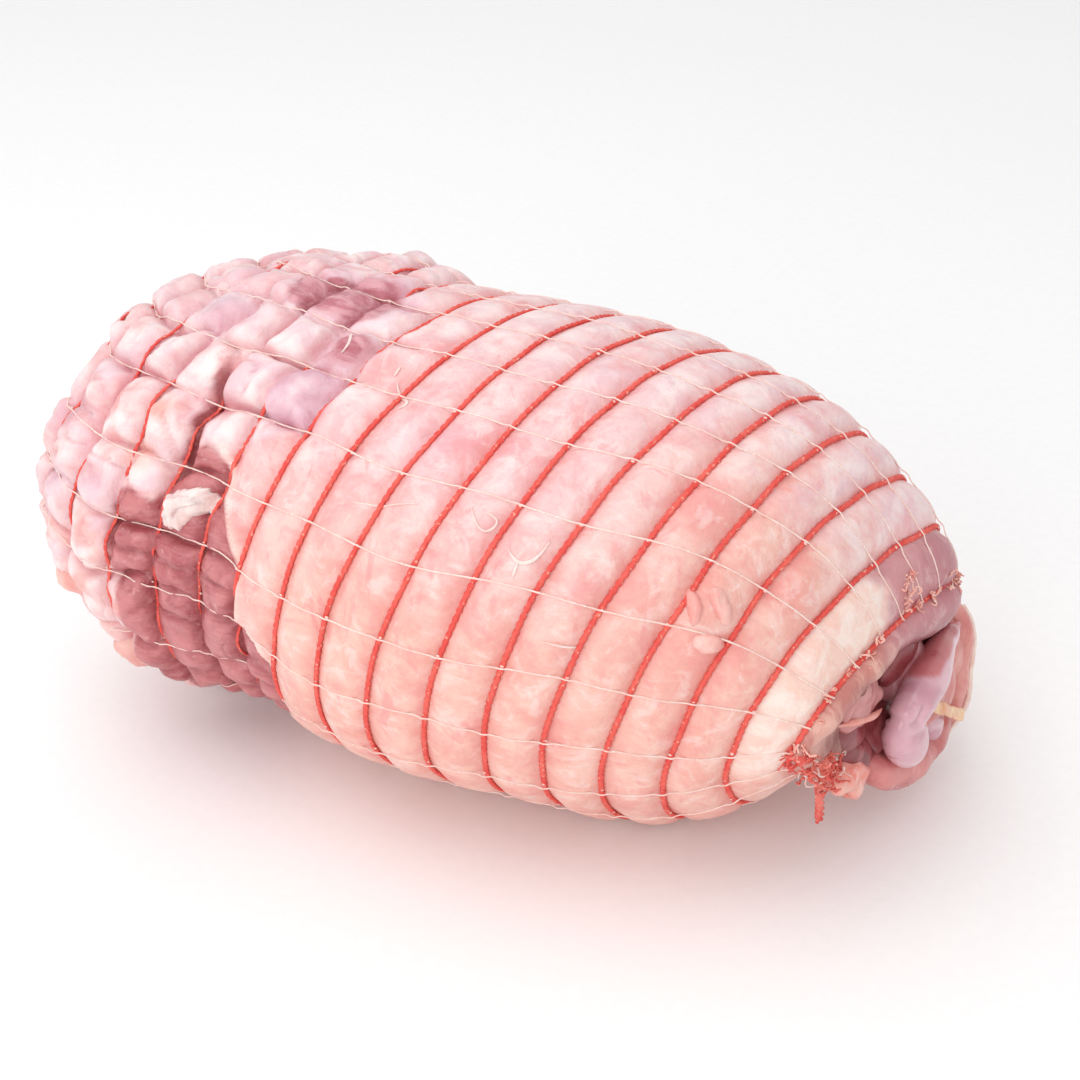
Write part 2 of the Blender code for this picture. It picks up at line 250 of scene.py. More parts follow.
def thread_angle(ring, thread):
    """Angle in degrees at a ring of a thread, or of the place between two threads."""
    low = np.floor(thread).astype(int)
    part = thread - low
    along = (ring - TWIST_MIDDLE_RING) / TWIST_MIDDLE_RING
    ends = []
    for index in (low, low + 1):
        turns = 360.0 * (index // THREAD_COUNT)
        place = index % THREAD_COUNT
        ends.append(THREAD_ANGLES[place] + turns + THREAD_DRIFTS[place] * along)
    twist = TWIST[0] * along + TWIST[1] * along**2 + TWIST[2] * along**3
    return (1 - part) * ends[0] + part * ends[1] + twist


def lofted(ring, angle):
    """Points of the smooth roll, before its swellings and its flat; the angle is in radians."""
    station = np.clip(ring, 0, LAST_LOFTED_RING)
    mouth_turn = np.clip(-ring, 0, 1) * np.pi / 2
    far_turn = np.clip((ring - LAST_LOFTED_RING) / (FAR_POLE - LAST_LOFTED_RING), 0, 1) * np.pi / 2
    shrink = np.cos(mouth_turn) * np.cos(far_turn)
    mouth_rise = MOUTH_LIP * np.sin(2 * mouth_turn) - MOUTH_PIT * (1 - np.cos(mouth_turn)) ** 2
    far_rise = FAR_DOME * np.sin(far_turn)
    back = smooth(TUCK_RINGS[0], TUCK_RINGS[1], station) * np.maximum(np.cos(angle), 0.0)
    y = half_width(station) * np.cos(angle) * shrink * (1 - TUCK_WIDTH * back)
    z = half_height(station) * np.sin(angle) * shrink
    yaw = plane_yaw(station)
    pitch = plane_pitch(station)
    length = np.sqrt(1 + yaw**2 + pitch**2)
    far_length = math.hypot(1.0, FAR_LEAN)
    x = plane_x(station) + yaw * (1 - TUCK_YAW * back) * y + pitch * z
    x = x + mouth_rise / length - far_rise / far_length
    y_all = centre_y(station) + y - mouth_rise * yaw / length + far_rise * FAR_LEAN / far_length
    z_all = centre_z(station) + z - mouth_rise * pitch / length
    above = z_all - FLAT_HEIGHT
    lifted = FLAT_HEIGHT + 0.5 * (above + np.hypot(above, FLAT_SOFTNESS))
    return np.stack([x, y_all, lifted], -1)


def lump_height(ring, angle):
    """Height in mm of the swellings and hollows at a place."""
    total = 0.0
    for at_ring, at_angle, height, ring_spread, angle_spread in LUMPS:
        turn = turn_between(angle, at_angle)
        total = total + height * np.exp(-(((ring - at_ring) / ring_spread) ** 2) - (turn / angle_spread) ** 2)
    return total


def length_of(vectors):
    return np.linalg.norm(vectors, axis=-1)


def unit(vectors):
    return vectors / (length_of(vectors)[..., None] + 1e-12)


def skin(ring, thread):
    """Points where the net lies, outward directions, angles, and the spacing of rings and of threads."""
    step = 0.02
    ring = np.asarray(ring, float)
    thread = np.asarray(thread, float)
    degrees = thread_angle(ring, thread)
    angle = np.radians(degrees)
    lengthwise = lofted(ring + step, angle) - lofted(ring - step, angle)
    around = lofted(ring, angle + step) - lofted(ring, angle - step)
    out = unit(np.cross(lengthwise, around))
    point = lofted(ring, angle) + lump_height(ring, degrees)[..., None] * out
    ring_pitch = length_of(lengthwise) / (2 * step)
    turn = np.radians(thread_angle(ring, thread + 0.5) - thread_angle(ring, thread - 0.5))
    thread_pitch = length_of(around) / (2 * step) * turn
    return point, out, degrees % 360.0, ring_pitch, thread_pitch


def noise(points, size, seed):
    """Smooth noise from -1 to 1 that varies over lengths of about size millimetres."""
    lattice = np.random.default_rng(seed).uniform(-1, 1, (32, 32, 32))
    at = points / size
    low = np.floor(at).astype(int)
    part = at - low
    part = part * part * (3 - 2 * part)
    total = 0.0
    for corner in np.ndindex(2, 2, 2):
        share = np.where(corner, part, 1 - part).prod(-1)
        place = (low + np.array(corner)) % 32
        total = total + share * lattice[place[..., 0], place[..., 1], place[..., 2]]
    return total


def from_table(table, angle):
    """A value given at some angles, at any angle."""
    return np.interp(angle, [row[0] for row in table], [row[1] for row in table])


# Rough spacing on the skin, for distances between places given as rings and angles
RING_MM = 12.6
DEGREE_MM = 1.1


def outline_depth(ring, angle, outline):
    """Distance in mm inside an outline on the skin, negative outside it."""
    x = ring * RING_MM
    y = turn_between(angle, outline[0][1]) * DEGREE_MM
    nearest = np.full(x.shape, 1e9)
    inside = np.zeros(x.shape, bool)
    corners = [(r * RING_MM, (a - outline[0][1]) * DEGREE_MM) for r, a in outline]
    for (x0, y0), (x1, y1) in zip(corners, corners[1:] + corners[:1]):
        span = (x1 - x0) ** 2 + (y1 - y0) ** 2
        along = np.clip(((x - x0) * (x1 - x0) + (y - y0) * (y1 - y0)) / span, 0, 1)
        away = np.hypot(x - x0 - along * (x1 - x0), y - y0 - along * (y1 - y0))
        nearest = np.minimum(nearest, away)
        crosses = (y0 > y) != (y1 > y)
        height = np.where(crosses, (y - y0) / (y1 - y0 if y1 != y0 else 1.0), 0.0)
        inside ^= crosses & (x < x0 + height * (x1 - x0))
    return np.where(inside, nearest, -nearest)


def stroke_distance(ring, angle, places):
    """Distance in mm from a line drawn through places on the skin."""
    nearest = np.full(np.shape(ring), 1e9)
    for (r0, a0), (r1, a1) in zip(places, places[1:]):
        x = (ring - r0) * RING_MM
        y = turn_between(angle, a0) * DEGREE_MM
        dx = (r1 - r0) * RING_MM
        dy = (a1 - a0) * DEGREE_MM
        along = np.clip((x * dx + y * dy) / (dx * dx + dy * dy), 0, 1)
        nearest = np.minimum(nearest, np.hypot(x - along * dx, y - along * dy))
    return nearest


def spot(ring, angle, place, radius):
    """1 at a place on the skin, fading to 0 at about the radius in mm."""
    away = np.hypot((ring - place[0]) * RING_MM, turn_between(angle, place[1]) * DEGREE_MM)
    return np.exp(-((away / radius) ** 2) * 1.5)


def plumpness(ring, angle):
    """0 on the smooth fat and 1 where the net cuts the meat into small bulges."""
    edge = from_table(PLUMP_EDGE, angle)
    return smooth(-0.25, 0.75, ring - edge)


def flap_window(angle):
    """1 over the angles at which the fat flap has a free edge."""
    return smooth(139, 147, angle) * (1 - smooth(243, 256, angle))


def flap_drop(ring, angle):
    """How far the meat lies below the fat flap's surface, from 0 to 1."""
    edge = from_table(FLAP_EDGE, angle)
    fade = 1 - smooth(2.2, 4.0, ring - edge)
    return flap_window(angle) * smooth(-0.03, 0.17, ring - edge) * fade


def flap_rim(ring, angle):
    """1 along the fat flap's thick edge."""
    away = ring - from_table(FLAP_EDGE, angle) + 0.1
    return flap_window(angle) * groove(away, 0.09)


def groove(distance, width):
    return np.exp(-((distance / width) ** 2))


def valley(distance, width):
    """1 in the bottom of a crease with rounded shoulders, falling to 0 away from it."""
    return np.exp(-np.sqrt(distance**2 + 0.09) / width + 0.3 / width)


def lumps(points, parts):
    """Sum of noises, each given as height, size and seed."""
    return sum(height * noise(points, size, seed) for height, size, seed in parts)


def creases(points, steepness, size, seed, width, patch_size, gate):
    """1 along wandering creases, which show only in patches."""
    lines = valley(steepness * noise(points, size, seed), width)
    return lines * smooth(gate[0], gate[1], noise(points, patch_size, seed + 1))


def within(value, limits, softness):
    """1 between two limits and 0 outside them."""
    low, high = (smooth(-softness, softness, value - limit) for limit in limits)
    return low * (1 - high)


def cell_mask(ring, thread, rings, threads, softness=0.12):
    """1 inside one cell of the net and 0 outside it."""
    return within(ring, rings, softness) * within(thread, threads, softness)


def white_cells(ring, thread):
    """1 on the plump white bulges beside the lilac one."""
    return sum(share * cell_mask(ring, thread, rings, threads) for rings, threads, share in WHITE_CELLS)


def bulges(ring, thread, point, angle, ring_pitch, thread_pitch):
    """Height in mm of the plump bulges between bands and threads, their creases and their valleys."""
    bent_ring = ring + lumps(point, (RING_WAVER,))
    bent_thread = thread + lumps(point, (THREAD_WAVER,))
    to_band = np.abs(bent_ring - np.clip(np.round(bent_ring), 0, LAST_RING)) * ring_pitch
    to_thread = np.abs(bent_thread - np.round(bent_thread)) * thread_pitch
    keep_band = np.clip(0.9 + 0.5 * noise(point, 14.0, 15), 0.6, 1.15)
    keep_thread = np.clip(0.9 + 0.5 * noise(point, 13.0, 16), 0.55, 1.1)
    deep_band = keep_band * valley(to_band, BAND_VALLEY_WIDTH)
    deep_thread = keep_thread * valley(to_thread, THREAD_VALLEY_WIDTH)
    crease = creases(point, 8.0, 9.0, 17, 0.8, 14.0, (-0.35, 0.25))
    crease = np.maximum(crease, 0.7 * creases(point, 5.0, 5.5, 20, 0.55, 11.0, (-0.2, 0.4)))
    to_half = np.abs(bent_thread - np.floor(bent_thread) - 0.5) * thread_pitch
    halved = valley(to_half, HALVED_WIDTH) * smooth(-0.5, 1.5, outline_depth(ring, angle, DARK_MUSCLE))
    crease = np.maximum(crease, HALVED_SHARE * halved * smooth(-0.9, -0.1, noise(point, 16.0, 22)))
    height = CREST_LEVEL - VALLEY_DEPTH * np.maximum(deep_band, THREAD_VALLEY_SHARE * deep_thread)
    height = height - CORNER_DEPTH * np.minimum(deep_band, deep_thread) - CREASE_DEPTH * crease
    height = height + lumps(point, BULGE_LUMPS) + WHITE_CELL_RISE * white_cells(ring, thread)
    height = EVEN_LEVEL + (height - EVEN_LEVEL) * (1 - EVEN_SHARE * smooth(105, 80, angle))
    return height, crease, np.maximum(deep_band, deep_thread)


def relief(ring, thread, point, angle, ring_pitch, thread_pitch):
    """Height in mm of the meat over the net's surface, and how deep in a groove each point is."""
    to_band = np.abs(ring - np.clip(np.round(ring), 0, LAST_RING)) * ring_pitch
    to_thread = np.abs(thread - np.round(thread)) * thread_pitch
    room = smooth(0.0, 11.0, thread_pitch) * (1 - smooth(LAST_RING, FAR_POLE, ring))
    mouth = smooth(-0.35, 0.0, ring)
    in_band = groove(to_band, BAND_GROOVE_WIDTH)
    in_thread = groove(to_thread, THREAD_GROOVE_WIDTH) * mouth
    level = FAT_LEVEL - BAND_GROOVE_DEPTH * in_band - THREAD_GROOVE_DEPTH * in_thread * (1 - in_band)
    plump = plumpness(ring, angle)
    bulge, crease, deep = bulges(ring, thread, point, angle, ring_pitch, thread_pitch)
    height = level * (1 - plump) + bulge * plump - FAT_CREASE_DEPTH * crease * (1 - plump)
    height = (height + lumps(point, BROAD_LUMPS)) * room
    height = height - FLAP_DROP * flap_drop(ring, angle) + FLAP_RIM_HEIGHT * flap_rim(ring, angle)
    strip = smooth(3.0, 0.4, stroke_distance(ring, angle, DARK_STRIP)) * smooth(119, 133, angle)
    height = height - DARK_STRIP_DEPTH * strip
    torn = smooth(105, 130, angle) * smooth(250, 225, angle)
    inner = (0.6 + 1.2 * torn) * noise(point, 6.0, 8) + 0.7 * torn * noise(point, 2.6, 9)
    height = np.where(ring < 0, inner * (1 - mouth) + height * mouth, height)
    in_crease = np.maximum(deep**2, 0.5 * crease**2) * plump
    near_band = in_band * mouth * (1 - 0.6 * plump)
    return height, np.maximum(near_band, in_crease) * room


def crowded(count):
    """Steps from 0 up to 1 that lie closer together near both ends."""
    even = np.arange(count) / count
    return even - CROWDING * np.sin(2 * np.pi * even) / (2 * np.pi)


def to_world(points):
    """Millimetres of the roll's own axes to metres of the part's frame, held above the floor."""
    moved = (np.asarray(points, float) + CENTRE_SHIFT) * MM
    above = moved[..., 2] - FLOOR_GAP
    moved[..., 2] = FLOOR_GAP + 0.5 * (above + np.hypot(above, FLOOR_SOFTNESS))
    return moved


def thread_at(ring, angle):
    """The thread coordinate that a place given as ring and angle has."""
    ring = np.asarray(ring, float)
    table = np.linspace(-1, THREAD_COUNT, 400)
    middle = np.full(table.shape, float(np.mean(ring)))
    thread = np.interp(angle, thread_angle(middle, table), table) + 0 * ring
    for _ in range(3):
        slope = thread_angle(ring, thread + 0.05) - thread_angle(ring, thread - 0.05)
        thread = thread - 0.1 * (thread_angle(ring, thread) - angle) / slope
    return thread


def placed(name, data):
    """A new object in the scene."""
    made = bpy.data.objects.new(name, data)
    bpy.context.scene.collection.objects.link(made)
    return made


class Shape:
    """Points, faces and masks that become one mesh."""

    def __init__(self):
        self.points = []
        self.faces = []
        self.masks = {}
        self.count = 0

    def add(self, grid, masks=None, capped=True):
        """Adds a tube of points: rows along it and sides round it, with its ends filled."""
        rows, sides = grid.shape[:2]
        first = self.count
        self.points.append(grid.reshape(-1, 3))
        row, side = np.meshgrid(np.arange(rows - 1), np.arange(sides), indexing="ij")
        after = (side + 1) % sides
        low = first + row * sides
        high = low + sides
        quads = np.stack([low + side, low + after, high + after, high + side], -1)
        self.faces.extend(quads.reshape(-1, 4).tolist())
        if capped:
            self.faces.append(list(range(first + sides - 1, first - 1, -1)))
            last = first + (rows - 1) * sides
            self.faces.append(list(range(last, last + sides)))
        for name, values in (masks or {}).items():
            flat = np.broadcast_to(values, (rows, sides)).reshape(-1)
            self.masks.setdefault(name, []).append((first, flat))
        self.count += rows * sides

    def finish(self, name, material, slot):
        """Makes the object, which rides on the part's one body."""
        points = to_world(np.concatenate(self.points))
        mesh = bpy.data.meshes.new(name)
        mesh.from_pydata(points.tolist(), [], self.faces)
        for mask, pieces in self.masks.items():
            values = np.zeros(self.count, np.float32)
            for first, part in pieces:
                values[first : first + len(part)] = part
            mesh.attributes.new(mask, "FLOAT", "POINT").data.foreach_set("value", values)
        mesh.validate()
        mesh.shade_smooth()
        mesh.materials.append(material)
        made = placed(name, mesh)
        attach(made, "root")
        return made


def tube(path, radius, sides, flatness=1.0, out=None, turns=None, strands=0.0):
    """A closed tube round a path in mm; turns in radians spin its flattened section, as in twisted yarn."""
    path = np.asarray(path, float)
    count = len(path)
    tangent = unit(np.gradient(path, axis=0))
    if out is None:
        out = np.tile([0.0, 0.0, 1.0], (count, 1))
        steep = np.abs(tangent[:, 2]) > 0.95
        out[steep] = [1.0, 0.0, 0.0]
    across = unit(np.cross(tangent, out))
    up = np.cross(across, tangent)
    spin = np.arange(sides) / sides * 2 * np.pi
    radius = np.broadcast_to(radius, (count,))[:, None]
    swell = 1.0
    if turns is not None:
        swell = 1 + strands * np.cos(2 * (spin[None, :] - np.asarray(turns)[:, None]))
    sideways = radius * swell * np.cos(spin)[None, :]
    upwards = radius * swell * flatness * np.sin(spin)[None, :]
    return path[:, None, :] + sideways[..., None] * across[:, None, :] + upwards[..., None] * up[:, None, :]


def spline_through(points):
    """Smooth curves through some points, one for each axis, that run from 0 to 1."""
    knots = np.linspace(0, 1, len(points))
    return [natural_spline(knots, values) for values in np.transpose(points)]


def spline_path(points, count):
    """A smooth line of evenly spaced parameters through some points."""
    at = np.linspace(0, 1, count)
    return np.stack([axis(at) for axis in spline_through(points)], -1)


LOBE_FULLNESS = 0.7


def lobe(points, radii, flat, rough, seed, size, sides=40, rows=44):
    """A rounded strip of meat that follows the points, as a grid of points."""
    turn = (np.arange(rows) + 0.5) / rows * np.pi
    along = (1 - np.cos(turn)) / 2
    path = spline_through(points)
    centre = np.stack([axis(along) for axis in path], -1)
    tangent = unit(np.stack([axis(along + 0.01) - axis(along - 0.01) for axis in path], -1))
    across = unit(np.cross(tangent, [1.0, 0.0, 0.0]))
    deep = np.cross(across, tangent)
    radius = natural_spline(np.linspace(0, 1, len(radii)), radii)(along) * np.sin(turn) ** LOBE_FULLNESS
    spin = np.arange(sides) / sides * 2 * np.pi
    ring = np.cos(spin)[None, :, None] * across[:, None] + flat * np.sin(spin)[None, :, None] * deep[:, None]
    grid = centre[:, None] + radius[:, None, None] * ring
    return grid + rough * noise(grid, size, seed)[..., None] * unit(ring)


def srgb(display):
    """A colour from its 0 to 255 display values."""
    values = np.array(display) / 255.0
    linear = np.where(values <= 0.04045, values / 12.92, ((values + 0.055) / 1.055) ** 2.4)
    return (*[float(value) for value in linear], 1.0)


class Look:
    """A procedural material whose nodes are added one by one."""

    def __init__(self, name, roughness=0.4, subsurface=0.0, coat=0.0):
        self.material = bpy.data.materials.new(name)
        self.material.use_nodes = True
        self.tree = self.material.node_tree
        self.surface = self.tree.nodes["Principled BSDF"]
        constants = {
            "Roughness": roughness,
            "Subsurface Weight": subsurface,
            "Subsurface Radius": (1.0, 0.55, 0.45),
            "Subsurface Scale": 0.003,
            "Coat Weight": coat,
            "Coat Roughness": 0.16,
            "Specular IOR Level": 0.45,
        }
        for socket, value in constants.items():
            self.surface.inputs[socket].default_value = value
        self.place = self.new("TexCoord").outputs["Object"]

    def new(self, kind):
        return self.tree.nodes.new("ShaderNode" + kind)

    def link(self, source, socket):
        if isinstance(source, (int, float, tuple)):
            socket.default_value = source
        else:
            self.tree.links.new(source, socket)

    def wire(self, node, inputs, output):
        """Sets or links a node's inputs, and gives the output that is asked for."""
        for name, source in inputs.items():
            self.link(source, node.inputs[name])
        return node.outputs[output]

    def mask(self, name):
        node = self.new("Attribute")
        node.attribute_name = name
        return node.outputs["Fac"]

    def noise(self, scale, detail=4.0, rough=0.6, stretch=None, twist=0.0):
        place = self.place
        if stretch:
            place = self.wire(self.new("Mapping"), {"Scale": stretch, "Vector": place}, "Vector")
        inputs = {"Scale": scale, "Detail": detail, "Roughness": rough, "Distortion": twist, "Vector": place}
        return self.wire(self.new("TexNoise"), inputs, "Fac")

    def math(self, operation, first, second):
        node = self.new("Math")
        node.operation = operation
        return self.wire(node, {0: first, 1: second}, 0)

    def steps(self, value, low, high, floor=0.0, ceiling=1.0):
        """The value stretched so that low gives floor and high gives ceiling, held between them."""
        node = self.new("MapRange")
        node.interpolation_type = "SMOOTHSTEP"
        ends = {"From Min": low, "From Max": high, "To Min": floor, "To Max": ceiling}
        return self.wire(node, {"Value": value, **ends}, "Result")

    def mix(self, share, first, second):
        node = self.new("Mix")
        node.data_type = "RGBA"
        return self.wire(node, {"Factor": share, "A": first, "B": second}, "Result")

    def between(self, value, low, high, colours):
        """A colour that goes from the first of two display colours to the second as the value rises."""
        return self.mix(self.steps(value, low, high), srgb(colours[0]), srgb(colours[1]))

    def over(self, colour, share, top):
        """The colour with a share of a display colour laid over it."""
        return self.mix(share, colour, srgb(top))

    def layered(self, colour, noises, layers):
        """The colour with others over it, each shared out by its noise."""
        for name, low, high, most, top in layers:
            colour = self.over(colour, self.steps(noises[name], low, high, 0.0, most), top)
        return colour

    def bump(self, height, strength, distance, under=None):
        inputs = {"Strength": strength, "Distance": distance, "Height": height}
        if under is not None:
            inputs["Normal"] = under
        return self.wire(self.new("Bump"), inputs, "Normal")

    def finish(self, colour, roughness=None, normal=None):
        for name, source in (("Base Color", colour), ("Roughness", roughness), ("Normal", normal)):
            if source is not None:
                self.link(source, self.surface.inputs[name])
        return self.material


# Display colours of the meat, most of them in pairs that a noise goes between
PALE_FAT = ((242, 206, 205), (235, 182, 184))
ROSY_FAT = ((240, 180, 179), (230, 148, 151))
PEACH_FAT = ((244, 198, 184), (238, 172, 158))
DEEP_PEACH = (238, 162, 152)
WHITE_FAT = ((250, 233, 231), (236, 204, 211))
CREAM_FAT = ((249, 210, 196), (253, 232, 222))
LILAC_FAT = ((232, 196, 210), (214, 162, 180))
# The two groove colours below are partly the fat's redder tone beside the net and partly painted shade in its
# grooves, warm on smooth fat and cool on the bulges
WARM_GROOVE_RED_AND_SHADE = (228, 128, 120)
COOL_GROOVE_RED_AND_SHADE = (206, 122, 134)
RED_MUSCLE = ((174, 82, 88), (206, 122, 124))
FIBROUS_MUSCLE = ((174, 78, 98), (228, 168, 178))
# Painted highlight on the tops of the muscle's bulges
MUSCLE_CROWN_HIGHLIGHT = (218, 148, 148)
# Painted shade in the muscle's grooves; along the dark strip it is partly the strip's own darker red and
# partly painted shade
CREASE_SHADE_AND_DARK_RED = (134, 52, 56)
MAUVE_MOUTH = ((188, 120, 128), (212, 150, 154))
RAW_MOUTH = ((198, 126, 118), (230, 178, 164))
# Painted shade deep inside the mouth's pit
PIT_SHADE = (92, 16, 22)
ORANGE_STAIN = (240, 150, 110)

# Colours laid over them: noise, its values where the colour starts and is full, greatest share, colour
FAT_LAYERS = (
    ("streak", 0.54, 0.68, 0.42, (250, 228, 224)),
    ("vein", 0.55, 0.66, 0.55, (235, 150, 150)),
    ("mottle", 0.52, 0.66, 0.4, (234, 152, 152)),
    ("mottle", 0.48, 0.34, 0.35, (252, 234, 230)),
)
MUSCLE_LAYERS = (
    ("fibre", 0.46, 0.62, 0.5, (216, 146, 148)),
    ("mottle", 0.5, 0.36, 0.5, (158, 66, 72)),
    ("fine", 0.6, 0.7, 0.55, (230, 182, 178)),
)
MOUTH_LAYERS = (
    ("grainy", 0.52, 0.7, 0.5, (222, 174, 178)),
    ("streak", 0.54, 0.66, 0.45, (230, 190, 190)),
)


def meat_look():
    """Fat, lilac skin, red muscle and the mouth's inside, each where its mask shows it, with painted shade in
    the grooves and the mouth's pit and a painted highlight on the muscle's bulges.
    """
    look = Look("meat_surface", subsurface=0.16, coat=0.14)
    broad = look.noise(34.0)
    blotch = look.noise(85.0, twist=0.6)
    fine = look.noise(420.0, rough=0.65)
    streak = look.noise(60.0, 5.0, 0.65, (1.0, 3.2, 3.2), 0.6)
    vein = look.noise(60.0, 5.0, 0.7, (1.6, 1.0, 0.7), 1.1)
    fibre = look.noise(240.0, stretch=(0.35, 1.0, 1.6), twist=0.8)
    grainy = look.noise(160.0, stretch=(0.6, 1.6, 0.35), twist=0.5)
    mottle = look.noise(150.0, 5.0, 0.65, twist=0.7)
    lumpy = look.noise(190.0, twist=0.4)
    noises = {
        "streak": streak, "vein": vein, "mottle": mottle, "fibre": fibre, "fine": fine, "grainy": grainy,
    }

    blush = look.math("ADD", look.mask("blush"), look.steps(broad, 0.32, 0.68, -0.15, 0.4))
    blush = look.math("ADD", blush, look.steps(streak, 0.4, 0.6, 0.12, -0.12))
    pale = look.between(blotch, 0.35, 0.7, PALE_FAT)
    rosy = look.between(blotch, 0.35, 0.7, ROSY_FAT)
    peach = look.over(look.between(blotch, 0.35, 0.7, PEACH_FAT), look.steps(blush, 0.3, 1.1), DEEP_PEACH)
    fat = look.mix(look.steps(blush, 0.0, 1.0), pale, rosy)
    fat = look.mix(look.mask("peach"), fat, peach)
    fat = look.layered(fat, noises, FAT_LAYERS)
    fat = look.mix(look.mask("white"), fat, look.between(blotch, 0.38, 0.66, WHITE_FAT))
    # Painted shade in the grooves, partly the fat's own redder tone beside the net
    groove_red_and_shade = look.mix(look.mask("cool_shade"), srgb(WARM_GROOVE_RED_AND_SHADE), srgb(COOL_GROOVE_RED_AND_SHADE))
    fat = look.mix(look.mask("groove"), fat, groove_red_and_shade)
    fat = look.mix(look.mask("cream"), fat, look.between(streak, 0.4, 0.62, CREAM_FAT))
    colour = look.mix(look.mask("lilac"), fat, look.between(blotch, 0.35, 0.65, LILAC_FAT))

    red = look.layered(look.between(blotch, 0.36, 0.66, RED_MUSCLE), noises, MUSCLE_LAYERS)
    # Painted highlight: lighter tops on the muscle's bulges, away from the grooves
    crown_highlight = look.math("MULTIPLY", look.mask("crown_highlight"), look.steps(broad, 0.35, 0.6, 0.1, 0.5))
    red = look.over(red, crown_highlight, MUSCLE_CROWN_HIGHLIGHT)
    fibrous_share = look.math("MULTIPLY", look.mask("fibrous"), 0.75)
    red = look.mix(fibrous_share, red, look.between(fibre, 0.36, 0.66, FIBROUS_MUSCLE))
    # Painted shade in the muscle's grooves, and along the dark strip partly its own darker red and partly
    # painted shade
    red = look.over(red, look.mask("dark"), CREASE_SHADE_AND_DARK_RED)
    colour = look.mix(look.mask("muscle"), colour, red)

    mauve = look.layered(look.between(broad, 0.35, 0.66, MAUVE_MOUTH), noises, MOUTH_LAYERS)
    mauve = look.mix(look.mask("raw"), mauve, look.between(grainy, 0.36, 0.66, RAW_MOUTH))
    # Painted shade deep inside the mouth's pit
    mauve = look.over(mauve, look.mask("pit_shade"), PIT_SHADE)
    mouth_share = look.math("MAXIMUM", look.mask("mauve"), look.mask("raw"))
    colour = look.mix(mouth_share, colour, mauve)
    colour = look.mix(look.mask("orange"), colour, look.over(colour, 0.35, ORANGE_STAIN))

    normal = look.bump(fine, 0.35, 0.0005)
    normal = look.bump(lumpy, 0.5, 0.0011, normal)
    normal = look.bump(blotch, 0.5, 0.0018, normal)
    normal = look.bump(fibre, 0.3, 0.0006, normal)
    return look.finish(colour, look.steps(broad, 0.3, 0.7, 0.36, 0.55), normal)


def yarn_look(name, colours, speck, speck_share):
    """Fibrous yarn in two colours, with small specks of a third."""
    look = Look(name, roughness=0.7)
    grain = look.noise(900.0, 3.0)
    colour = look.between(look.noise(160.0, 3.0), 0.35, 0.65, colours)
    colour = look.over(colour, look.steps(grain, 0.60 - speck_share, 0.74 - speck_share), speck)
    return look.finish(colour, look.steps(grain, 0.3, 0.7, 0.55, 0.8), look.bump(grain, 0.6, 0.0004))


def flesh_look(name, colours, vein, fibre_scale=220.0, subsurface=0.15):
    """Moist flesh in two colours, with pale veins along its fibres."""
    look = Look(name, subsurface=subsurface, coat=0.3)
    patch = look.noise(70.0, twist=0.8)
    fibre = look.noise(fibre_scale, stretch=(1.0, 1.0, 0.35), twist=0.6)
    colour = look.between(patch, 0.35, 0.66, colours)
    colour = look.over(colour, look.steps(fibre, 0.56, 0.72, 0.0, 0.55), vein)
    normal = look.bump(fibre, 0.35, 0.0006)
    normal = look.bump(patch, 0.3, 0.0015, normal)
    return look.finish(colour, look.steps(patch, 0.3, 0.7, 0.25, 0.45), normal)


def silverskin_look():
    """Red muscle that shows at one end of a lobe, under shiny lilac skin with pale streaks."""
    look = Look("silverskin", subsurface=0.15, coat=0.45)
    patch = look.noise(75.0, 3.0, twist=0.7)
    streak = look.noise(60.0, stretch=(1.0, 0.5, 2.0), twist=1.2)
    skin_colour = look.between(patch, 0.35, 0.66, ((206, 150, 164), (228, 184, 194)))
    skin_colour = look.over(skin_colour, look.steps(streak, 0.55, 0.7, 0.0, 0.6), (236, 206, 212))
    red = look.between(patch, 0.35, 0.66, ((188, 92, 98), (208, 122, 124)))
    colour = look.mix(look.mask("skin"), red, skin_colour)
    return look.finish(colour, look.steps(patch, 0.3, 0.7, 0.2, 0.36), look.bump(streak, 0.25, 0.0008))


# Grain of the thinnest scraps: the noise's scale and detail, and where its second colour is full
THIN_GRAIN = (240.0, 3.0, 0.65)


def scrap_look(name, colours, grain, coat, smoothest, bump):
    """Thin torn fat or skin."""
    look = Look(name, subsurface=0.2, coat=coat)
    patch = look.noise(grain[0], grain[1])
    colour = look.between(patch, 0.35, grain[2], colours)
    return look.finish(colour, look.steps(patch, 0.3, 0.7, smoothest, 0.5), look.bump(patch, *bump))


def make_meat():
    """The whole surface of the roll, with its mouth, as one fine mesh."""
    rings = list(-1 + (np.arange(MOUTH_ROWS) + 0.3) / MOUTH_ROWS)
    for ring in range(FAR_POLE):
        count = DETAILED_ROWS
        if ring < DETAILED_RINGS[0]:
            count = NEAR_ROWS
        elif ring > DETAILED_RINGS[1]:
            count = FAR_ROWS
        rings.extend(ring + crowded(count))
    threads = []
    for cell in range(THREAD_COUNT):
        shown = cell < len(SHOWN_THREAD_ANGLES) - 1
        threads.extend(cell + crowded(SHOWN_CELL_COLUMNS if shown else HIDDEN_CELL_COLUMNS))
    ring, thread = np.meshgrid(rings, threads, indexing="ij")
    point, out, angle, ring_pitch, thread_pitch = skin(ring, thread)
    height, depth = relief(ring, thread, point, angle, ring_pitch, thread_pitch)
    grid = point + height[..., None] * out
    wobble = lumps(point, EDGE_WOBBLE)
    shape = Shape()
    shape.add(grid, colour_masks(ring, thread, angle, wobble, depth))
    return shape.finish("meat_surface", meat_look(), "meat")


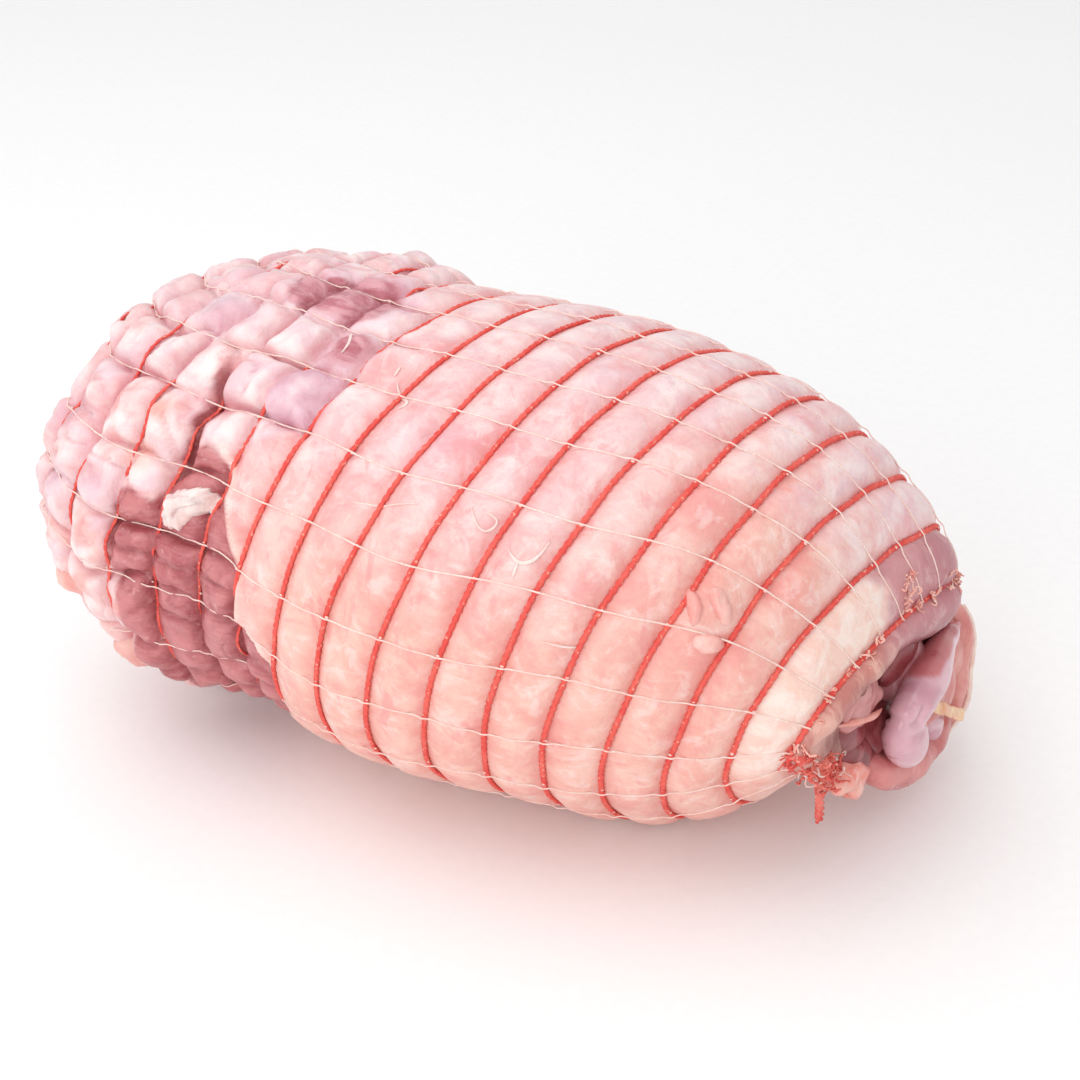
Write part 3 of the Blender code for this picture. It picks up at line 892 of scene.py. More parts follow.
def colour_masks(ring, thread, angle, wobble, depth):
    """Where each colour shows on the roll, with painted shade in the grooves and the mouth's pit and a
    painted highlight on the muscle's bulges.
    """
    plump = plumpness(ring, angle)
    whitest = white_cells(ring, thread)
    in_groove = np.clip(depth, 0, 1)
    in_top_muscle = outline_depth(ring, angle, TOP_MUSCLE)
    muscle = smooth(-0.7, 0.7, outline_depth(ring, angle, DARK_MUSCLE) + 0.45 * wobble)
    top = smooth(-1.0, 1.0, in_top_muscle - 0.9 + 2.0 * wobble)
    strip = smooth(2.1, 1.0, stroke_distance(ring, angle, DARK_STRIP) - 0.7 * wobble)
    strip = strip * smooth(118, 128, angle)
    purple = cell_mask(ring, thread, *PURPLE_CELL, 0.15)
    from_middle = np.hypot(ring - PURPLE_MIDDLE[0], thread - PURPLE_MIDDLE[1])
    core = purple * smooth(-0.9, 0.9, wobble + 2.5 * (1 - from_middle / PURPLE_REACH))
    red = np.maximum(np.maximum(muscle, 0.9 * top), np.maximum(strip, 0.95 * core))

    lilac = 0.85 * cell_mask(ring, thread, *LILAC_CELL) * smooth(1.2, -0.8, wobble - 0.3)
    lilac = np.maximum(lilac, 0.6 * purple)
    lilac = np.maximum(lilac, 0.55 * smooth(-5.0, 1.0, in_top_muscle + 1.5 * wobble))
    for place, radius, strength in LILAC_SPOTS:
        lilac = np.maximum(lilac, strength * spot(ring, angle, place, radius))
    lilac = lilac * (1 - 0.85 * np.clip(whitest, 0, 1))

    mouth = smooth(0.1, -0.1, ring)
    lip_side = angle + 3.5 * wobble
    lip = smooth(1.02, 0.9, ring) * smooth(99, 91, lip_side) * smooth(8, 20, angle)
    torn = smooth(98, 118, angle) * smooth(250, 225, angle)
    mauve = np.maximum(mouth * (1 - torn * (0.45 + 0.3 * np.clip(wobble, -1, 1))), lip)
    raw = smooth(0.12, -0.08, ring) * smooth(86, 112, angle + 6 * wobble) * smooth(262, 238, angle)
    cream = smooth(1.05, 0.9, ring) * smooth(91, 99, lip_side) * smooth(205, 190, angle)
    # Along the fat flap's thick rim the cream is partly the fat's pale cut edge and partly a painted
    # highlight
    cream = np.maximum(0.85 * cream * (1 - mouth), 0.7 * flap_rim(ring, angle))

    low_side = smooth(128, 175, angle) * (1 - smooth(330, 360, angle))
    upper_side = smooth(0, 45, angle) * smooth(120, 95, angle) * smooth(11, 9, ring)
    white = np.maximum(whitest, smooth(0.3, 0.9, plump) * smooth(-1.0, 0.6, wobble))
    # White fat is kept out of the grooves, where the painted shade goes
    white = white * (1 - 0.9 * in_groove)
    white = np.maximum(white, 0.7 * upper_side * smooth(0.9, -0.5, wobble))
    white = np.maximum(white, 0.9 * spot(ring, angle, *STRETCHED_SPOT) * smooth(-0.6, 0.8, wobble))
    blush = 0.04 + 0.14 * low_side - 0.25 * upper_side
    for place, radius, strength in BLUSH_SPOTS:
        blush = blush + strength * spot(ring, angle, place, radius)
    near_peach = smooth(6.0, 2.5, ring) * smooth(80, 110, angle) * smooth(260, 200, angle)
    peach = low_side * (1 - 0.55 * smooth(8, 11, ring)) + 0.9 * near_peach * (1 - low_side)
    orange = sum(strength * spot(ring, angle, place, radius) for place, radius, strength in ORANGE_SPOTS)

    masks = {
        "muscle": red,
        "lilac": lilac,
        "mauve": mauve,
        "cream": cream,
        # Painted shade deep inside the mouth's pit
        "pit_shade": 0.85 * smooth(-0.22, -0.8, ring + 0.05 * wobble),
        "raw": raw,
        "white": white,
        "blush": blush,
        "peach": peach,
        # Painted shade in the muscle's grooves, and along the dark strip partly its darker red and partly
        # painted shade
        "dark": 0.75 * red * in_groove + 0.35 * strip,
        "orange": orange * (1 - np.clip(red, 0, 1)),
        # Painted shade in the grooves, partly the fat's redder tone beside the net; the cool mask picks its
        # cooler colour on the bulges
        "groove": in_groove * (0.42 + 0.3 * plump),
        "cool_shade": plump,
        # Painted highlight on the muscle's bulge tops, away from the grooves
        "crown_highlight": smooth(0.35, 0.0, depth) * smooth(0.2, 0.8, plump),
        "fibrous": np.maximum(top, core),
    }
    return {name: np.clip(values, 0, 1) for name, values in masks.items()}


# Red bands: half width, spacing of points and length of a twist in mm, and the shape of the cord
BAND_HALF_WIDTH = 0.66
BAND_STEP = 0.62
BAND_TWIST_MM = 4.4
BAND_FLATNESS = 0.72
BAND_SIDES = 8
BAND_STRANDS = 0.24
# Bands sway along the roll: amount in rings, waves round the roll, change from band to band
BAND_SWAYS = ((0.025, 3, 1.7), (0.012, 11, 1.0))
# Height in mm of bands over their grooves: on smooth fat, less on the bulges, where they dip in and out
BAND_LIFT = 0.42
BAND_SINK = 0.35
BAND_DIP = 0.45
# Bands that are buried at the top between the bulges, and one that lies high, by this many mm
BURIED_RINGS = (11, 12, 13)
RAISED_RING = 16
BURIED_BY = 1.3
# Pale threads: radius in mm, points along each, sway in threads
THREAD_RADIUS = 0.21
THREAD_POINTS = 330
THREAD_SWAY = 0.03
YARN_SIDES = 6


def surface_height(ring, thread):
    """Net's surface, outward directions, angles, the meat's height over it, and the threads' spacing."""
    point, out, angle, ring_pitch, thread_pitch = skin(ring, thread)
    height, _ = relief(ring, thread, point, angle, ring_pitch, thread_pitch)
    return point, out, angle, height, thread_pitch


def running_mean(values, reach):
    """Each value's mean with the ones up to reach places before and after it, going round."""
    return sum(np.roll(values, shift) for shift in range(-reach, reach + 1)) / (2 * reach + 1)


def overlapped(values, reach=3):
    """Values round a loop, with a few from each end repeated past the other."""
    return np.concatenate([values[-reach:], values, values[:reach]])


def band_path(ring):
    """Points, outward directions, turns of the twist and plumpness along one band."""
    rough = np.linspace(0, THREAD_COUNT, 400)
    points = skin(np.full(rough.shape, float(ring)), rough)[0]
    walked = np.concatenate([[0], np.cumsum(length_of(np.diff(points, axis=0)))])
    count = int(walked[-1] / BAND_STEP)
    part = np.arange(count) / count
    thread = np.interp(part * walked[-1], walked, rough)
    round_roll = thread * 2 * np.pi / THREAD_COUNT
    sway = sum(amount * np.sin(round_roll * waves + ring * shift) for amount, waves, shift in BAND_SWAYS)
    at = np.full(count, float(ring)) + sway * (ring > 0)
    point, out, angle, height, _ = surface_height(at, thread)
    plump = plumpness(at, angle)
    buried = smooth(82, 90, angle) * smooth(134, 126, angle) * (ring in BURIED_RINGS)
    raised = smooth(100, 110, angle) * smooth(150, 138, angle) * (ring == RAISED_RING)
    lift = BAND_LIFT - BAND_SINK * plump + BAND_DIP * plump * np.sin(thread * 2.3 + ring * 2.1)
    lift = lift + BURIED_BY * (raised - buried)
    path = point + (running_mean(height, 5) + lift)[:, None] * out
    turns = part * round(walked[-1] / BAND_TWIST_MM) * 2 * np.pi
    return path, out, turns, plump


def make_bands(rings, name, material):
    """Red elastic bands, each a twisted cord that lies in its groove."""
    shape = Shape()
    for ring in rings:
        path, out, turns, plump = (overlapped(values) for values in band_path(ring))
        width = BAND_HALF_WIDTH * (1 - 0.25 * plump)
        add_loop(shape, tube(path, width, BAND_SIDES, BAND_FLATNESS, out, turns, BAND_STRANDS)[3:-3])
    return shape.finish(name, material, "net")


def add_loop(shape, grid):
    """Adds a tube whose two ends meet."""
    rows, sides = grid.shape[:2]
    first = shape.count
    shape.add(grid, capped=False)
    last = first + (rows - 1) * sides
    for side in range(sides):
        after = (side + 1) % sides
        shape.faces.append([last + side, last + after, first + after, first + side])


def swayed(ring, thread):
    """The thread coordinate of a pale thread at a ring, as it wavers a little."""
    return thread + THREAD_SWAY * np.sin(ring * 1.9 + thread * 2.2)


def make_threads(material):
    """Pale threads that run along the roll over the bands."""
    shape = Shape()
    ring = np.linspace(-0.06, LAST_RING + 0.3, THREAD_POINTS)
    over = groove(ring - np.round(ring), 0.09)
    turns = np.arange(THREAD_POINTS) * 1.3
    for thread in range(THREAD_COUNT):
        at = swayed(ring, np.full(THREAD_POINTS, float(thread)))
        point, out, angle, height, _ = surface_height(ring, at)
        taut = np.maximum(running_mean(height, 8), height - 0.05 - 0.1 * plumpness(ring, angle))
        path = point + (running_mean(taut, 2) + 0.15 + 0.6 * over)[:, None] * out
        shape.add(tube(path, THREAD_RADIUS, YARN_SIDES, 0.85, out, turns, 0.15))
    shape.finish("net_threads", material, "net")


def make_crossings(material):
    """Small pale loops of thread where it catches each band."""
    shape = Shape()
    draw = np.random.default_rng(21)
    turn = ((np.arange(6) + 0.5) / 6 * np.pi)[:, None]
    spin = np.arange(8) / 8 * 2 * np.pi
    lengthwise = 0.8 * np.cos(turn)[..., None]
    sideways = 0.55 * (np.sin(turn) * np.cos(spin))[..., None]
    outwards = 0.5 * (np.sin(turn) * np.sin(spin))[..., None]
    ring, thread = np.meshgrid(np.arange(0, LAST_RING + 1.0), np.arange(THREAD_COUNT), indexing="ij")
    ring = ring.reshape(-1)
    thread = swayed(ring, thread.reshape(-1))
    point, out, _, height, pitch = surface_height(ring, thread)
    middle = point + (height + 0.75)[:, None] * out
    along = unit(skin(ring + 0.05, thread)[0] - skin(ring - 0.05, thread)[0])
    across = np.cross(out, along)
    for i in range(len(ring)):
        size = draw.uniform(0.3, 0.7) * min(1.0, pitch[i] / 8.0)
        shape.add(middle[i] + size * (lengthwise * along[i] + sideways * across[i] + outwards * out[i]))
    shape.finish("net_crossings", material, "net")


PAD_RINGS = 12
PAD_FOOT_RINGS = 5
PAD_SIDES = 72


def pad(outline, height, sink, seed, rough, ragged, rounds):
    """A scrap of fat that lies on the roll: its outline is given as rings and angles."""
    centre = np.mean(outline, 0)
    corners = np.array([*outline, outline[0]], float)
    spans = np.hypot(np.diff(corners[:, 0]) * RING_MM, np.diff(corners[:, 1]) * DEGREE_MM)
    walked = np.concatenate([[0], np.cumsum(spans)])
    at = np.arange(PAD_SIDES) / PAD_SIDES * walked[-1]
    edge = np.stack([np.interp(at, walked, corners[:, axis]) for axis in (0, 1)], -1)
    for _ in range(rounds):
        edge = (np.roll(edge, 1, 0) + 2 * edge + np.roll(edge, -1, 0)) / 4
    reach = 1 + ragged * np.random.default_rng(seed).normal(0, 1, PAD_SIDES)
    edge = centre + (edge - centre) * ((reach + np.roll(reach, 1)) / 2)[:, None]
    out_to_edge = np.linspace(0.04, 1, PAD_RINGS) ** 0.8
    spread = np.concatenate([out_to_edge, np.linspace(0.97, 0.1, PAD_FOOT_RINGS)])
    crest = (1 - np.linspace(0, 1, PAD_RINGS) ** 2.4) ** 0.7
    top = np.concatenate([crest, np.zeros(PAD_FOOT_RINGS)])[:, None]
    places = centre + spread[:, None, None] * (edge - centre)
    ring, angle = places[..., 0], places[..., 1]
    point, out, _, level, _ = surface_height(ring, thread_at(ring, angle))
    bumps = lumps(point, ((rough, 3.0, seed), (0.5 * rough, 1.4, seed + 1)))
    lift = level - sink + height * top + bumps * (top > 0)
    return point + lift[..., None] * out


def make_pads(name, material, pads, seed, rough, ragged, rounds=1):
    """Scraps that lie on the roll, as one piece."""
    shape = Shape()
    for index, (outline, height, sink) in enumerate(pads):
        shape.add(pad(outline, height, sink, seed + 3 * index, rough, ragged, rounds))
    shape.finish(name, material, "meat")


# Direction from the roll toward the viewer of the shank end
TOWARD_VIEWER = np.array([0.48, -0.717, 0.505])


def seen_distance(points, places):
    """Distance in mm, as seen from in front of the shank end, from a line through some places."""
    flat = points - (points @ TOWARD_VIEWER)[..., None] * TOWARD_VIEWER / (TOWARD_VIEWER @ TOWARD_VIEWER)
    line = np.asarray(places, float)
    line = line - (line @ TOWARD_VIEWER)[:, None] * TOWARD_VIEWER / (TOWARD_VIEWER @ TOWARD_VIEWER)
    nearest = np.full(points.shape[:-1], 1e9)
    for first, last in zip(line, line[1:]):
        span = last - first
        along = np.clip((flat - first) @ span / (span @ span), 0, 1)
        nearest = np.minimum(nearest, length_of(flat - first - along[..., None] * span))
    return nearest


def side_of_plane(points, first, second, toward):
    """Distance in mm of points from the plane through two points that holds the direction toward."""
    normal = np.cross(np.subtract(second, first), toward)
    normal = normal / np.linalg.norm(normal)
    return (points - np.asarray(first)) @ normal


# Materials of the shank: two colours, the veins' colour, the fibres' scale and the light that sinks in
SHANK_LOOKS = {
    "rose_muscle": (((200, 106, 106), (222, 142, 138)), (236, 176, 170), 220.0, 0.15),
    # The next two are darker copies of the muscle, painted shade for the recesses deep in the mouth
    "shaded_deep_muscle": (((122, 44, 48), (160, 76, 80)), (184, 106, 108), 220.0, 0.15),
    "shaded_wall_muscle": (((138, 56, 62), (166, 84, 88)), (192, 122, 122), 220.0, 0.15),
    "flap_muscle": (((212, 122, 118), (234, 166, 158)), (246, 208, 198), 220.0, 0.15),
    "wall_muscle": (((186, 112, 120), (208, 144, 150)), (228, 184, 186), 220.0, 0.15),
    "torn_muscle": (((196, 122, 120), (220, 154, 150)), (242, 202, 196), 220.0, 0.15),
    "scrap_fat": (((238, 140, 126), (248, 186, 172)), (252, 216, 206), 220.0, 0.2),
    "tendon": (((232, 160, 112), (250, 208, 156)), (252, 226, 184), 400.0, 0.15),
}

# Lobes of the shank and the mouth: material, points in mm, radii in mm, flattening, roughness in mm
SHANK_LOBES = {
    "shank_root": ("wall_muscle", ((80, 12, 48), (93, 19, 46), (104, 27, 37)), (11, 12, 10.5), 0.9, 0.8),
    # mouth_wall_upper, mouth_wall_low, gap_wall and mouth_fold wear the darker muscle copies as painted shade
    # deep in the mouth
    "mouth_wall_upper": (
        "shaded_wall_muscle", ((98, 32, 53), (100, 20, 50.5), (100.5, 10, 45)), (5, 7.5, 6.0), 0.6, 0.6,
    ),
    "mouth_wall": ("torn_muscle", ((98, -18, 52), (101, -6, 49), (101.5, 7, 44)), (5.0, 7.5, 5.0), 0.4, 1.2),
    "torn_edge": (
        "scrap_fat",
        ((101.8, -16, 48.0), (103.4, -9, 45.8), (104.4, -1, 43.2), (104.0, 5, 42)),
        (0.5, 0.8, 0.9, 0.6), 0.8, 0.3,
    ),
    "mouth_wall_low": (
        "shaded_wall_muscle", ((96, -14, 44), (98, -5, 39), (99, 4, 34)), (4.0, 6.0, 5.0), 0.6, 1.0,
    ),
    "shank_far_flap": (
        "flap_muscle",
        ((94, 46, 52), (100, 51.4, 46), (104, 53.6, 37), (104.5, 51, 27), (105, 48.5, 18), (104, 41, 12)),
        (3.4, 3.3, 3.4, 4.0, 4.4, 3.8), 0.9, 0.8,
    ),
    "shank_lower": (
        "rose_muscle",
        ((100.5, 2, 27), (102.5, 12, 19.0), (103.5, 25, 14.5), (104, 38, 15), (104, 47, 19)),
        (4.5, 6.0, 6.6, 6.4, 4.6), 0.9, 0.7,
    ),
    "shank_inner": (
        "flap_muscle",
        ((99, 17, 32), (101.5, 26, 31), (103, 37, 31), (103, 47.5, 33)),
        (7, 12, 15, 10), 0.42, 0.9,
    ),
    "shank_web": (
        "flap_muscle",
        ((91, 39, 49), (97, 45, 43), (101.5, 49, 34), (102, 46, 22)),
        (6, 8, 8.5, 7), 0.6, 0.8,
    ),
    "gap_wall": ("shaded_deep_muscle", ((96, -4, 37), (98.5, 8, 31.5), (100.5, 19, 28)), (6, 9.5, 9), 0.5, 0.8),
    "mouth_fold": ("shaded_deep_muscle", ((97, -8, 36), (99, 0, 30), (101.5, 8, 26)), (4.0, 5.0, 4.0), 0.9, 0.9),
    "fat_scrap": (
        "scrap_fat", ((98.5, -11, 28.5), (100.5, -3, 25), (101.5, 6, 23.5)), (3.2, 4.6, 3.0), 0.8, 2.0,
    ),
    "fat_scrap_tip": (
        "scrap_fat", ((100, -4, 24), (99.5, 1, 19.5), (99, 3, 15)), (3.4, 3.6, 2.2), 0.8, 1.6,
    ),
}

# The folded lobe from its tip down, and the bulge beside its lower end: points and radii in mm
SILVER_LOBES = (
    (
        (
            (104, 51, 42.5), (105.5, 41, 44.8), (106.5, 33, 45.2), (107.5, 26.5, 44.1), (108.5, 20.5, 43),
            (109, 13.9, 41.0), (108.5, 9.6, 37.6), (108, 10.8, 32.5), (107.5, 15.5, 25.5), (107, 20.5, 19.5),
        ),
        (1.6, 3.6, 4.7, 5.6, 6.1, 5.6, 5.7, 7.2, 7.6, 5.4),
    ),
    (((105, 27.5, 28.5), (105, 33.5, 21), (105, 35, 14)), (3.4, 4.6, 4.0)),
)
# Creases across it, drawn on its face: points, depth and width in mm
SILVER_CREASES = (
    (
        (
            (112, -9.5, 51.5), (112, -7.9, 50.3), (112, -2.3, 44.7),
            (112, 4.3, 39.6), (112, 9.1, 38.5), (112, 11.5, 41.4),
        ),
        1.5,
        0.9,
    ),
    (((112, -5.5, 44.5), (112, -1, 39.5), (112, 5, 35.5), (112, 12, 33.5)), 0.7, 0.9),
)
# The silverskin's edge along the right and across the lobe: two points and the direction in which each cuts
SILVER_SIDE = ((111.0, 21.7, 44.8), (106.0, 46.1, 46.3), (0.48, -0.72, 0.5))
SILVER_TOP = ((112.0, -0.5, 55.8), (111.0, 21.7, 44.8), (0.48, -0.72, 0.5))

# The far flap's pale cut edge and the tendon: points and half widths in mm, flatness, facing
PALE_EDGE = (
    (103.0, 55.0, 45.5), (106.6, 55.6, 37.5), (107.7, 53.5, 27.5), (108.6, 51.0, 18.5), (107.0, 42.8, 12.4),
)
PALE_EDGE_HALF_WIDTH = 0.95
PALE_EDGE_FLATNESS = 0.7
PALE_EDGE_FACING = (0.9, -0.3, 0.3)
PALE_EDGE_COLOURS = ((240, 196, 184), (250, 226, 214))
TENDON = ((109.5, 18, 38.5), (110.5, 29, 30.5), (110.5, 38, 24.0), (110.0, 46, 18.0))
TENDON_HALF_WIDTHS = ((0, 1.4), (0.1, 1.8), (0.5, 1.6), (0.9, 1.8), (1, 1.2))
TENDON_FLATNESS = 0.35
TENDON_FACING = (0.75, -0.3, 0.55)
STRIP_POINTS = 40


def make_silverskin():
    """The folded lobe under its silverskin, with the creases that cross it."""
    shape = Shape()
    for index, (points, radii) in enumerate(SILVER_LOBES):
        grid = lobe(points, radii, 0.9, 0.35, 60 + index, 6.0, 72, 110)
        inward = unit(np.mean(grid, 1, keepdims=True) - grid)
        for places, depth, width in SILVER_CREASES:
            grid = grid + depth * groove(seen_distance(grid, places), width)[..., None] * inward
        away = np.maximum(side_of_plane(grid, *SILVER_SIDE), side_of_plane(grid, *SILVER_TOP))
        skin_share = smooth(-0.6, 0.6, away + 0.5 * noise(grid, 4.0, 66))
        shape.add(grid, {"skin": skin_share if index == 0 else 1.0})
    shape.finish("shank_silverskin", silverskin_look(), "meat")


def make_strip(name, material, path, width, sides, flatness, facing):
    """A flat strip along a path, as a piece of its own."""
    shape = Shape()
    shape.add(tube(path, width, sides, flatness, np.tile(facing, (STRIP_POINTS, 1))))
    shape.finish(name, material, "meat")


def make_shank():
    """The folded shank at the near end: red muscles, fat and flaps, silverskin lobe, pale edge and tendon."""
    looks = {name: flesh_look(name, *parts) for name, parts in SHANK_LOOKS.items()}
    for index, (name, (material, points, radii, flat, rough)) in enumerate(SHANK_LOBES.items()):
        size = 3.2 if rough > 1 else 5.0
        shape = Shape()
        shape.add(lobe(points, radii, flat, rough, 30 + index, size))
        shape.finish(name, looks[material], "meat")
    make_silverskin()

    path = spline_path(PALE_EDGE, STRIP_POINTS)
    tapered = np.sin(np.linspace(0.12, math.pi - 0.12, STRIP_POINTS)) ** 0.35
    width = PALE_EDGE_HALF_WIDTH * (1 + 0.25 * noise(path, 3.0, 71)) * tapered
    look = scrap_look("pale_edge", PALE_EDGE_COLOURS, THIN_GRAIN, 0.25, 0.3, (0.4, 0.0008))
    make_strip("pale_edges", look, path, width, 12, PALE_EDGE_FLATNESS, PALE_EDGE_FACING)

    path = spline_path(TENDON, STRIP_POINTS)
    path = path + 0.25 * noise(path, 2.5, 72)[:, None]
    width = from_table(TENDON_HALF_WIDTHS, np.linspace(0, 1, STRIP_POINTS))
    make_strip("tendon", looks["tendon"], path, width, 16, TENDON_FLATNESS, TENDON_FACING)


# Scraps of fat and membrane on the roll: outline as rings and angles, height and sink in mm
SCRAPS = (
    (
        (
            (12, 159), (11.7, 156.5), (11.2, 154), (11, 158), (11, 161),
            (11.3, 163), (11.45, 167.5), (11.8, 167.5), (11.95, 165), (11.9, 162),
        ),
        2.7,
        0.3,
    ),
    (
        (
            (11.95, 159.5), (11.65, 157.5), (11.3, 156.5), (11.2, 159),
            (11.45, 161), (11.55, 165), (11.75, 166), (11.85, 162.5),
        ),
        3.9,
        0.3,
    ),
)
FAT_BITS = (
    (((3.05, 139), (3.05, 137), (2.9, 137.5), (2.7, 140), (2.6, 144), (2.65, 146), (2.85, 143)), 2.5, 0.8),
    (((2.8, 136), (2.75, 134), (2.6, 133.5), (2.35, 136), (2.15, 140), (2.2, 142.5), (2.6, 139)), 2.6, 0.8),
    (((2.6, 147.5), (2.45, 145), (2.15, 144), (1.95, 146), (2.05, 149), (2.25, 150.5), (2.5, 150)), 2.5, 0.7),
    (((13.6, 213), (13.1, 209), (12.75, 215), (12.8, 222), (13.3, 224)), 2.4, 0.3),
    (((14.6, 196), (14.1, 193), (13.9, 200), (14.1, 207), (14.6, 204)), 1.8, 0.4),
)
FLAKE_COLOURS = ((243, 206, 202), (252, 233, 227))
FAT_BIT_COLOURS = ((236, 164, 156), (247, 198, 188))


def make_scraps():
    """Torn fat: the white flake over the dark muscle, and small raised bits."""
    look = scrap_look("white_flake", FLAKE_COLOURS, (160.0, 4.0, 0.66), 0.15, 0.35, (0.5, 0.0014))
    make_pads("fat_flake", look, SCRAPS, 80, 0.7, 0.07)
    look = scrap_look("torn_fat", FAT_BIT_COLOURS, (120.0, 4.0, 0.66), 0.15, 0.3, (0.4, 0.001))
    make_pads("torn_fat", look, FAT_BITS, 100, 0.5, 0.02, rounds=14)


# Thin pale membranes that lie on the fat: rings and angles along each, and half width in mm
MEMBRANES = (
    (((5.75, 143.5), (5.5, 145.5), (5.3, 144.0), (5.25, 139.5)), 0.55),
    (((5.5, 145.5), (5.45, 149.0)), 0.45),
    (((6.6, 138.0), (6.4, 140.5), (6.2, 141.5), (6.15, 139.0), (6.35, 138.0)), 0.4),
    (((9.2, 117.0), (9.0, 119.5), (8.75, 121.0), (8.8, 123.0)), 0.5),
    (((10.7, 108.0), (10.5, 111.0), (10.4, 115.0)), 0.6),
    (((9.35, 113.5), (9.3, 116.0)), 0.6),
    (((8.4, 145.0), (7.9, 143.0), (7.4, 140.5)), 0.3),
    (((3.9, 160.0), (4.6, 160.5)), 0.35),
)
MEMBRANE_COLOURS = ((246, 204, 194), (250, 224, 216))


def make_membranes():
    """Thin wisps of membrane on the fat."""
    shape = Shape()
    taper = np.sin(np.linspace(0.1, math.pi - 0.1, STRIP_POINTS)) ** 0.5
    for index, (places, half_width_mm) in enumerate(MEMBRANES):
        ring, angle = spline_path(places, STRIP_POINTS).T
        point, out, _, level, _ = surface_height(ring, thread_at(ring, angle))
        path = point + (level + 0.15)[:, None] * out
        width = 0.85 * half_width_mm * taper * (1 + 0.3 * noise(path, 2.0, 90 + index))
        shape.add(tube(path, width, 10, 0.6, out))
    look = scrap_look("membrane", MEMBRANE_COLOURS, THIN_GRAIN, 0.2, 0.3, (0.4, 0.0008))
    shape.finish("membranes", look, "meat")


# Frayed yarn at the net's mouth: ring, angle, size in mm, number of strands
TANGLES = (
    (0.55, 82.0, 1.2, 7),
    (0.4, 84.0, 1.2, 7),
    (0.2, 86.5, 1.0, 6),
    (0.08, 80.0, 1.1, 6),
    (0.06, 70.0, 1.3, 8),
    (0.05, 58.0, 1.3, 8),
    (0.0, 49.0, 1.6, 10),
    (-0.06, 43.0, 1.7, 12),
    (0.1, 106.0, 1.2, 6),
    (-0.05, 113.0, 1.5, 5),
    (0.05, 122.0, 1.2, 5),
    (0.1, 139.0, 1.0, 4),
    (0.05, 152.0, 1.0, 4),
    (0.05, 170.0, 1.2, 6),
)

# The knot: where its strands start from and end, its cores and its loose end, in mm
KNOT_FIRST = np.array([98.0, -31.0, 47.0])
KNOT_LAST = np.array([99.5, -12.0, 31.0])
KNOT_CORES = (
    (((96.5, -34, 48), (99, -29, 46), (100, -23, 41)), (1.0, 1.8, 2.0)),
    (((100, -25, 43), (99.5, -18, 37), (98.5, -11, 30)), (2.0, 2.4, 1.8)),
)
KNOT_TAIL = ((99.5, -18, 36), (98.3, -15.5, 28.5), (97.9, -13.6, 22), (97.5, -12.5, 16.5))
KNOT_TAIL_POINTS = 60
KNOT_TAIL_RADIUS = 1.1
KNOT_TIP_SIDES = (-0.5, 0.4)
KNOT_TIP_POINTS = 16
KNOT_STRANDS = 150
KNOT_PALE_STRANDS = 34


def add_strand(shape, draw, start, step, bends, count, radii, twist=None):
    """Adds one fine strand that wanders off from its start."""
    path = spline_path(start + np.cumsum(draw.normal(0, step, (bends, 3)), 0), count)
    turns = None if twist is None else np.arange(count) * twist
    shape.add(tube(path, draw.uniform(*radii), YARN_SIDES, turns=turns, strands=0.2))


def make_tangles(material):
    """Frayed ends of yarn along the net's mouth, each a few strands that wander round one place."""
    draw = np.random.default_rng(8)
    shape = Shape()
    for ring, angle, size, strands in TANGLES:
        at = np.array([ring])
        point, out, _, level, _ = surface_height(at, thread_at(at, angle))
        middle = point[0] + (level[0] + 0.5) * out[0]
        for _ in range(strands):
            start = middle + draw.normal(0, 0.4 * size, 3)
            add_strand(shape, draw, start, 0.5 * size, 5, 24, (0.16, 0.3), 0.9)
    shape.finish("yarn_tangles", material, "net")


def knot_place(draw, spread):
    """A random place along the knot, off its line by about the spread in mm."""
    return KNOT_FIRST + draw.uniform(0, 1) * (KNOT_LAST - KNOT_FIRST) + draw.normal(0, spread, 3)


def make_knot(red, pale):
    """The drawn-in end of the net: a frayed knot with a loose end."""
    draw = np.random.default_rng(5)
    shape = Shape()
    for points, radii in KNOT_CORES:
        shape.add(lobe(points, radii, 0.9, 1.0, 44, 2.5, 24, 24))
    tail_turns = np.arange(KNOT_TAIL_POINTS) * 0.45
    tail = spline_path(KNOT_TAIL, KNOT_TAIL_POINTS)
    shape.add(tube(tail, KNOT_TAIL_RADIUS, 10, 0.9, turns=tail_turns, strands=0.25))
    for _ in range(KNOT_STRANDS):
        add_strand(shape, draw, knot_place(draw, 1.2), 0.85, 6, 22, (0.16, 0.36), 0.8)
    tip_turns = np.arange(KNOT_TIP_POINTS) * 0.9
    for side in KNOT_TIP_SIDES:
        tip = ((97.7, -13, 19), (97.4, -12.3 + side, 17), (97.3, -12 + 2 * side, 15.2))
        shape.add(tube(spline_path(tip, KNOT_TIP_POINTS), 0.5, YARN_SIDES, turns=tip_turns, strands=0.2))
    shape.finish("net_knot", red, "net")

    shape = Shape()
    for _ in range(KNOT_PALE_STRANDS):
        add_strand(shape, draw, knot_place(draw, 1.4), 0.8, 6, 22, (0.14, 0.28))
    shape.finish("net_knot_threads", pale, "net")


WORLD_STRENGTH = 0.78
LIGHT_TARGET = (0, 0, 0.05)
# Soft lamps: name, place in m, size in m, power in W
LAMPS = (
    ("overhead", (-0.25, -0.2, 1.0), 0.9, 3.2),
    ("front", (0.1, -1.0, 0.5), 0.6, 3.0),
)
FLOOR_REACH = 4.0


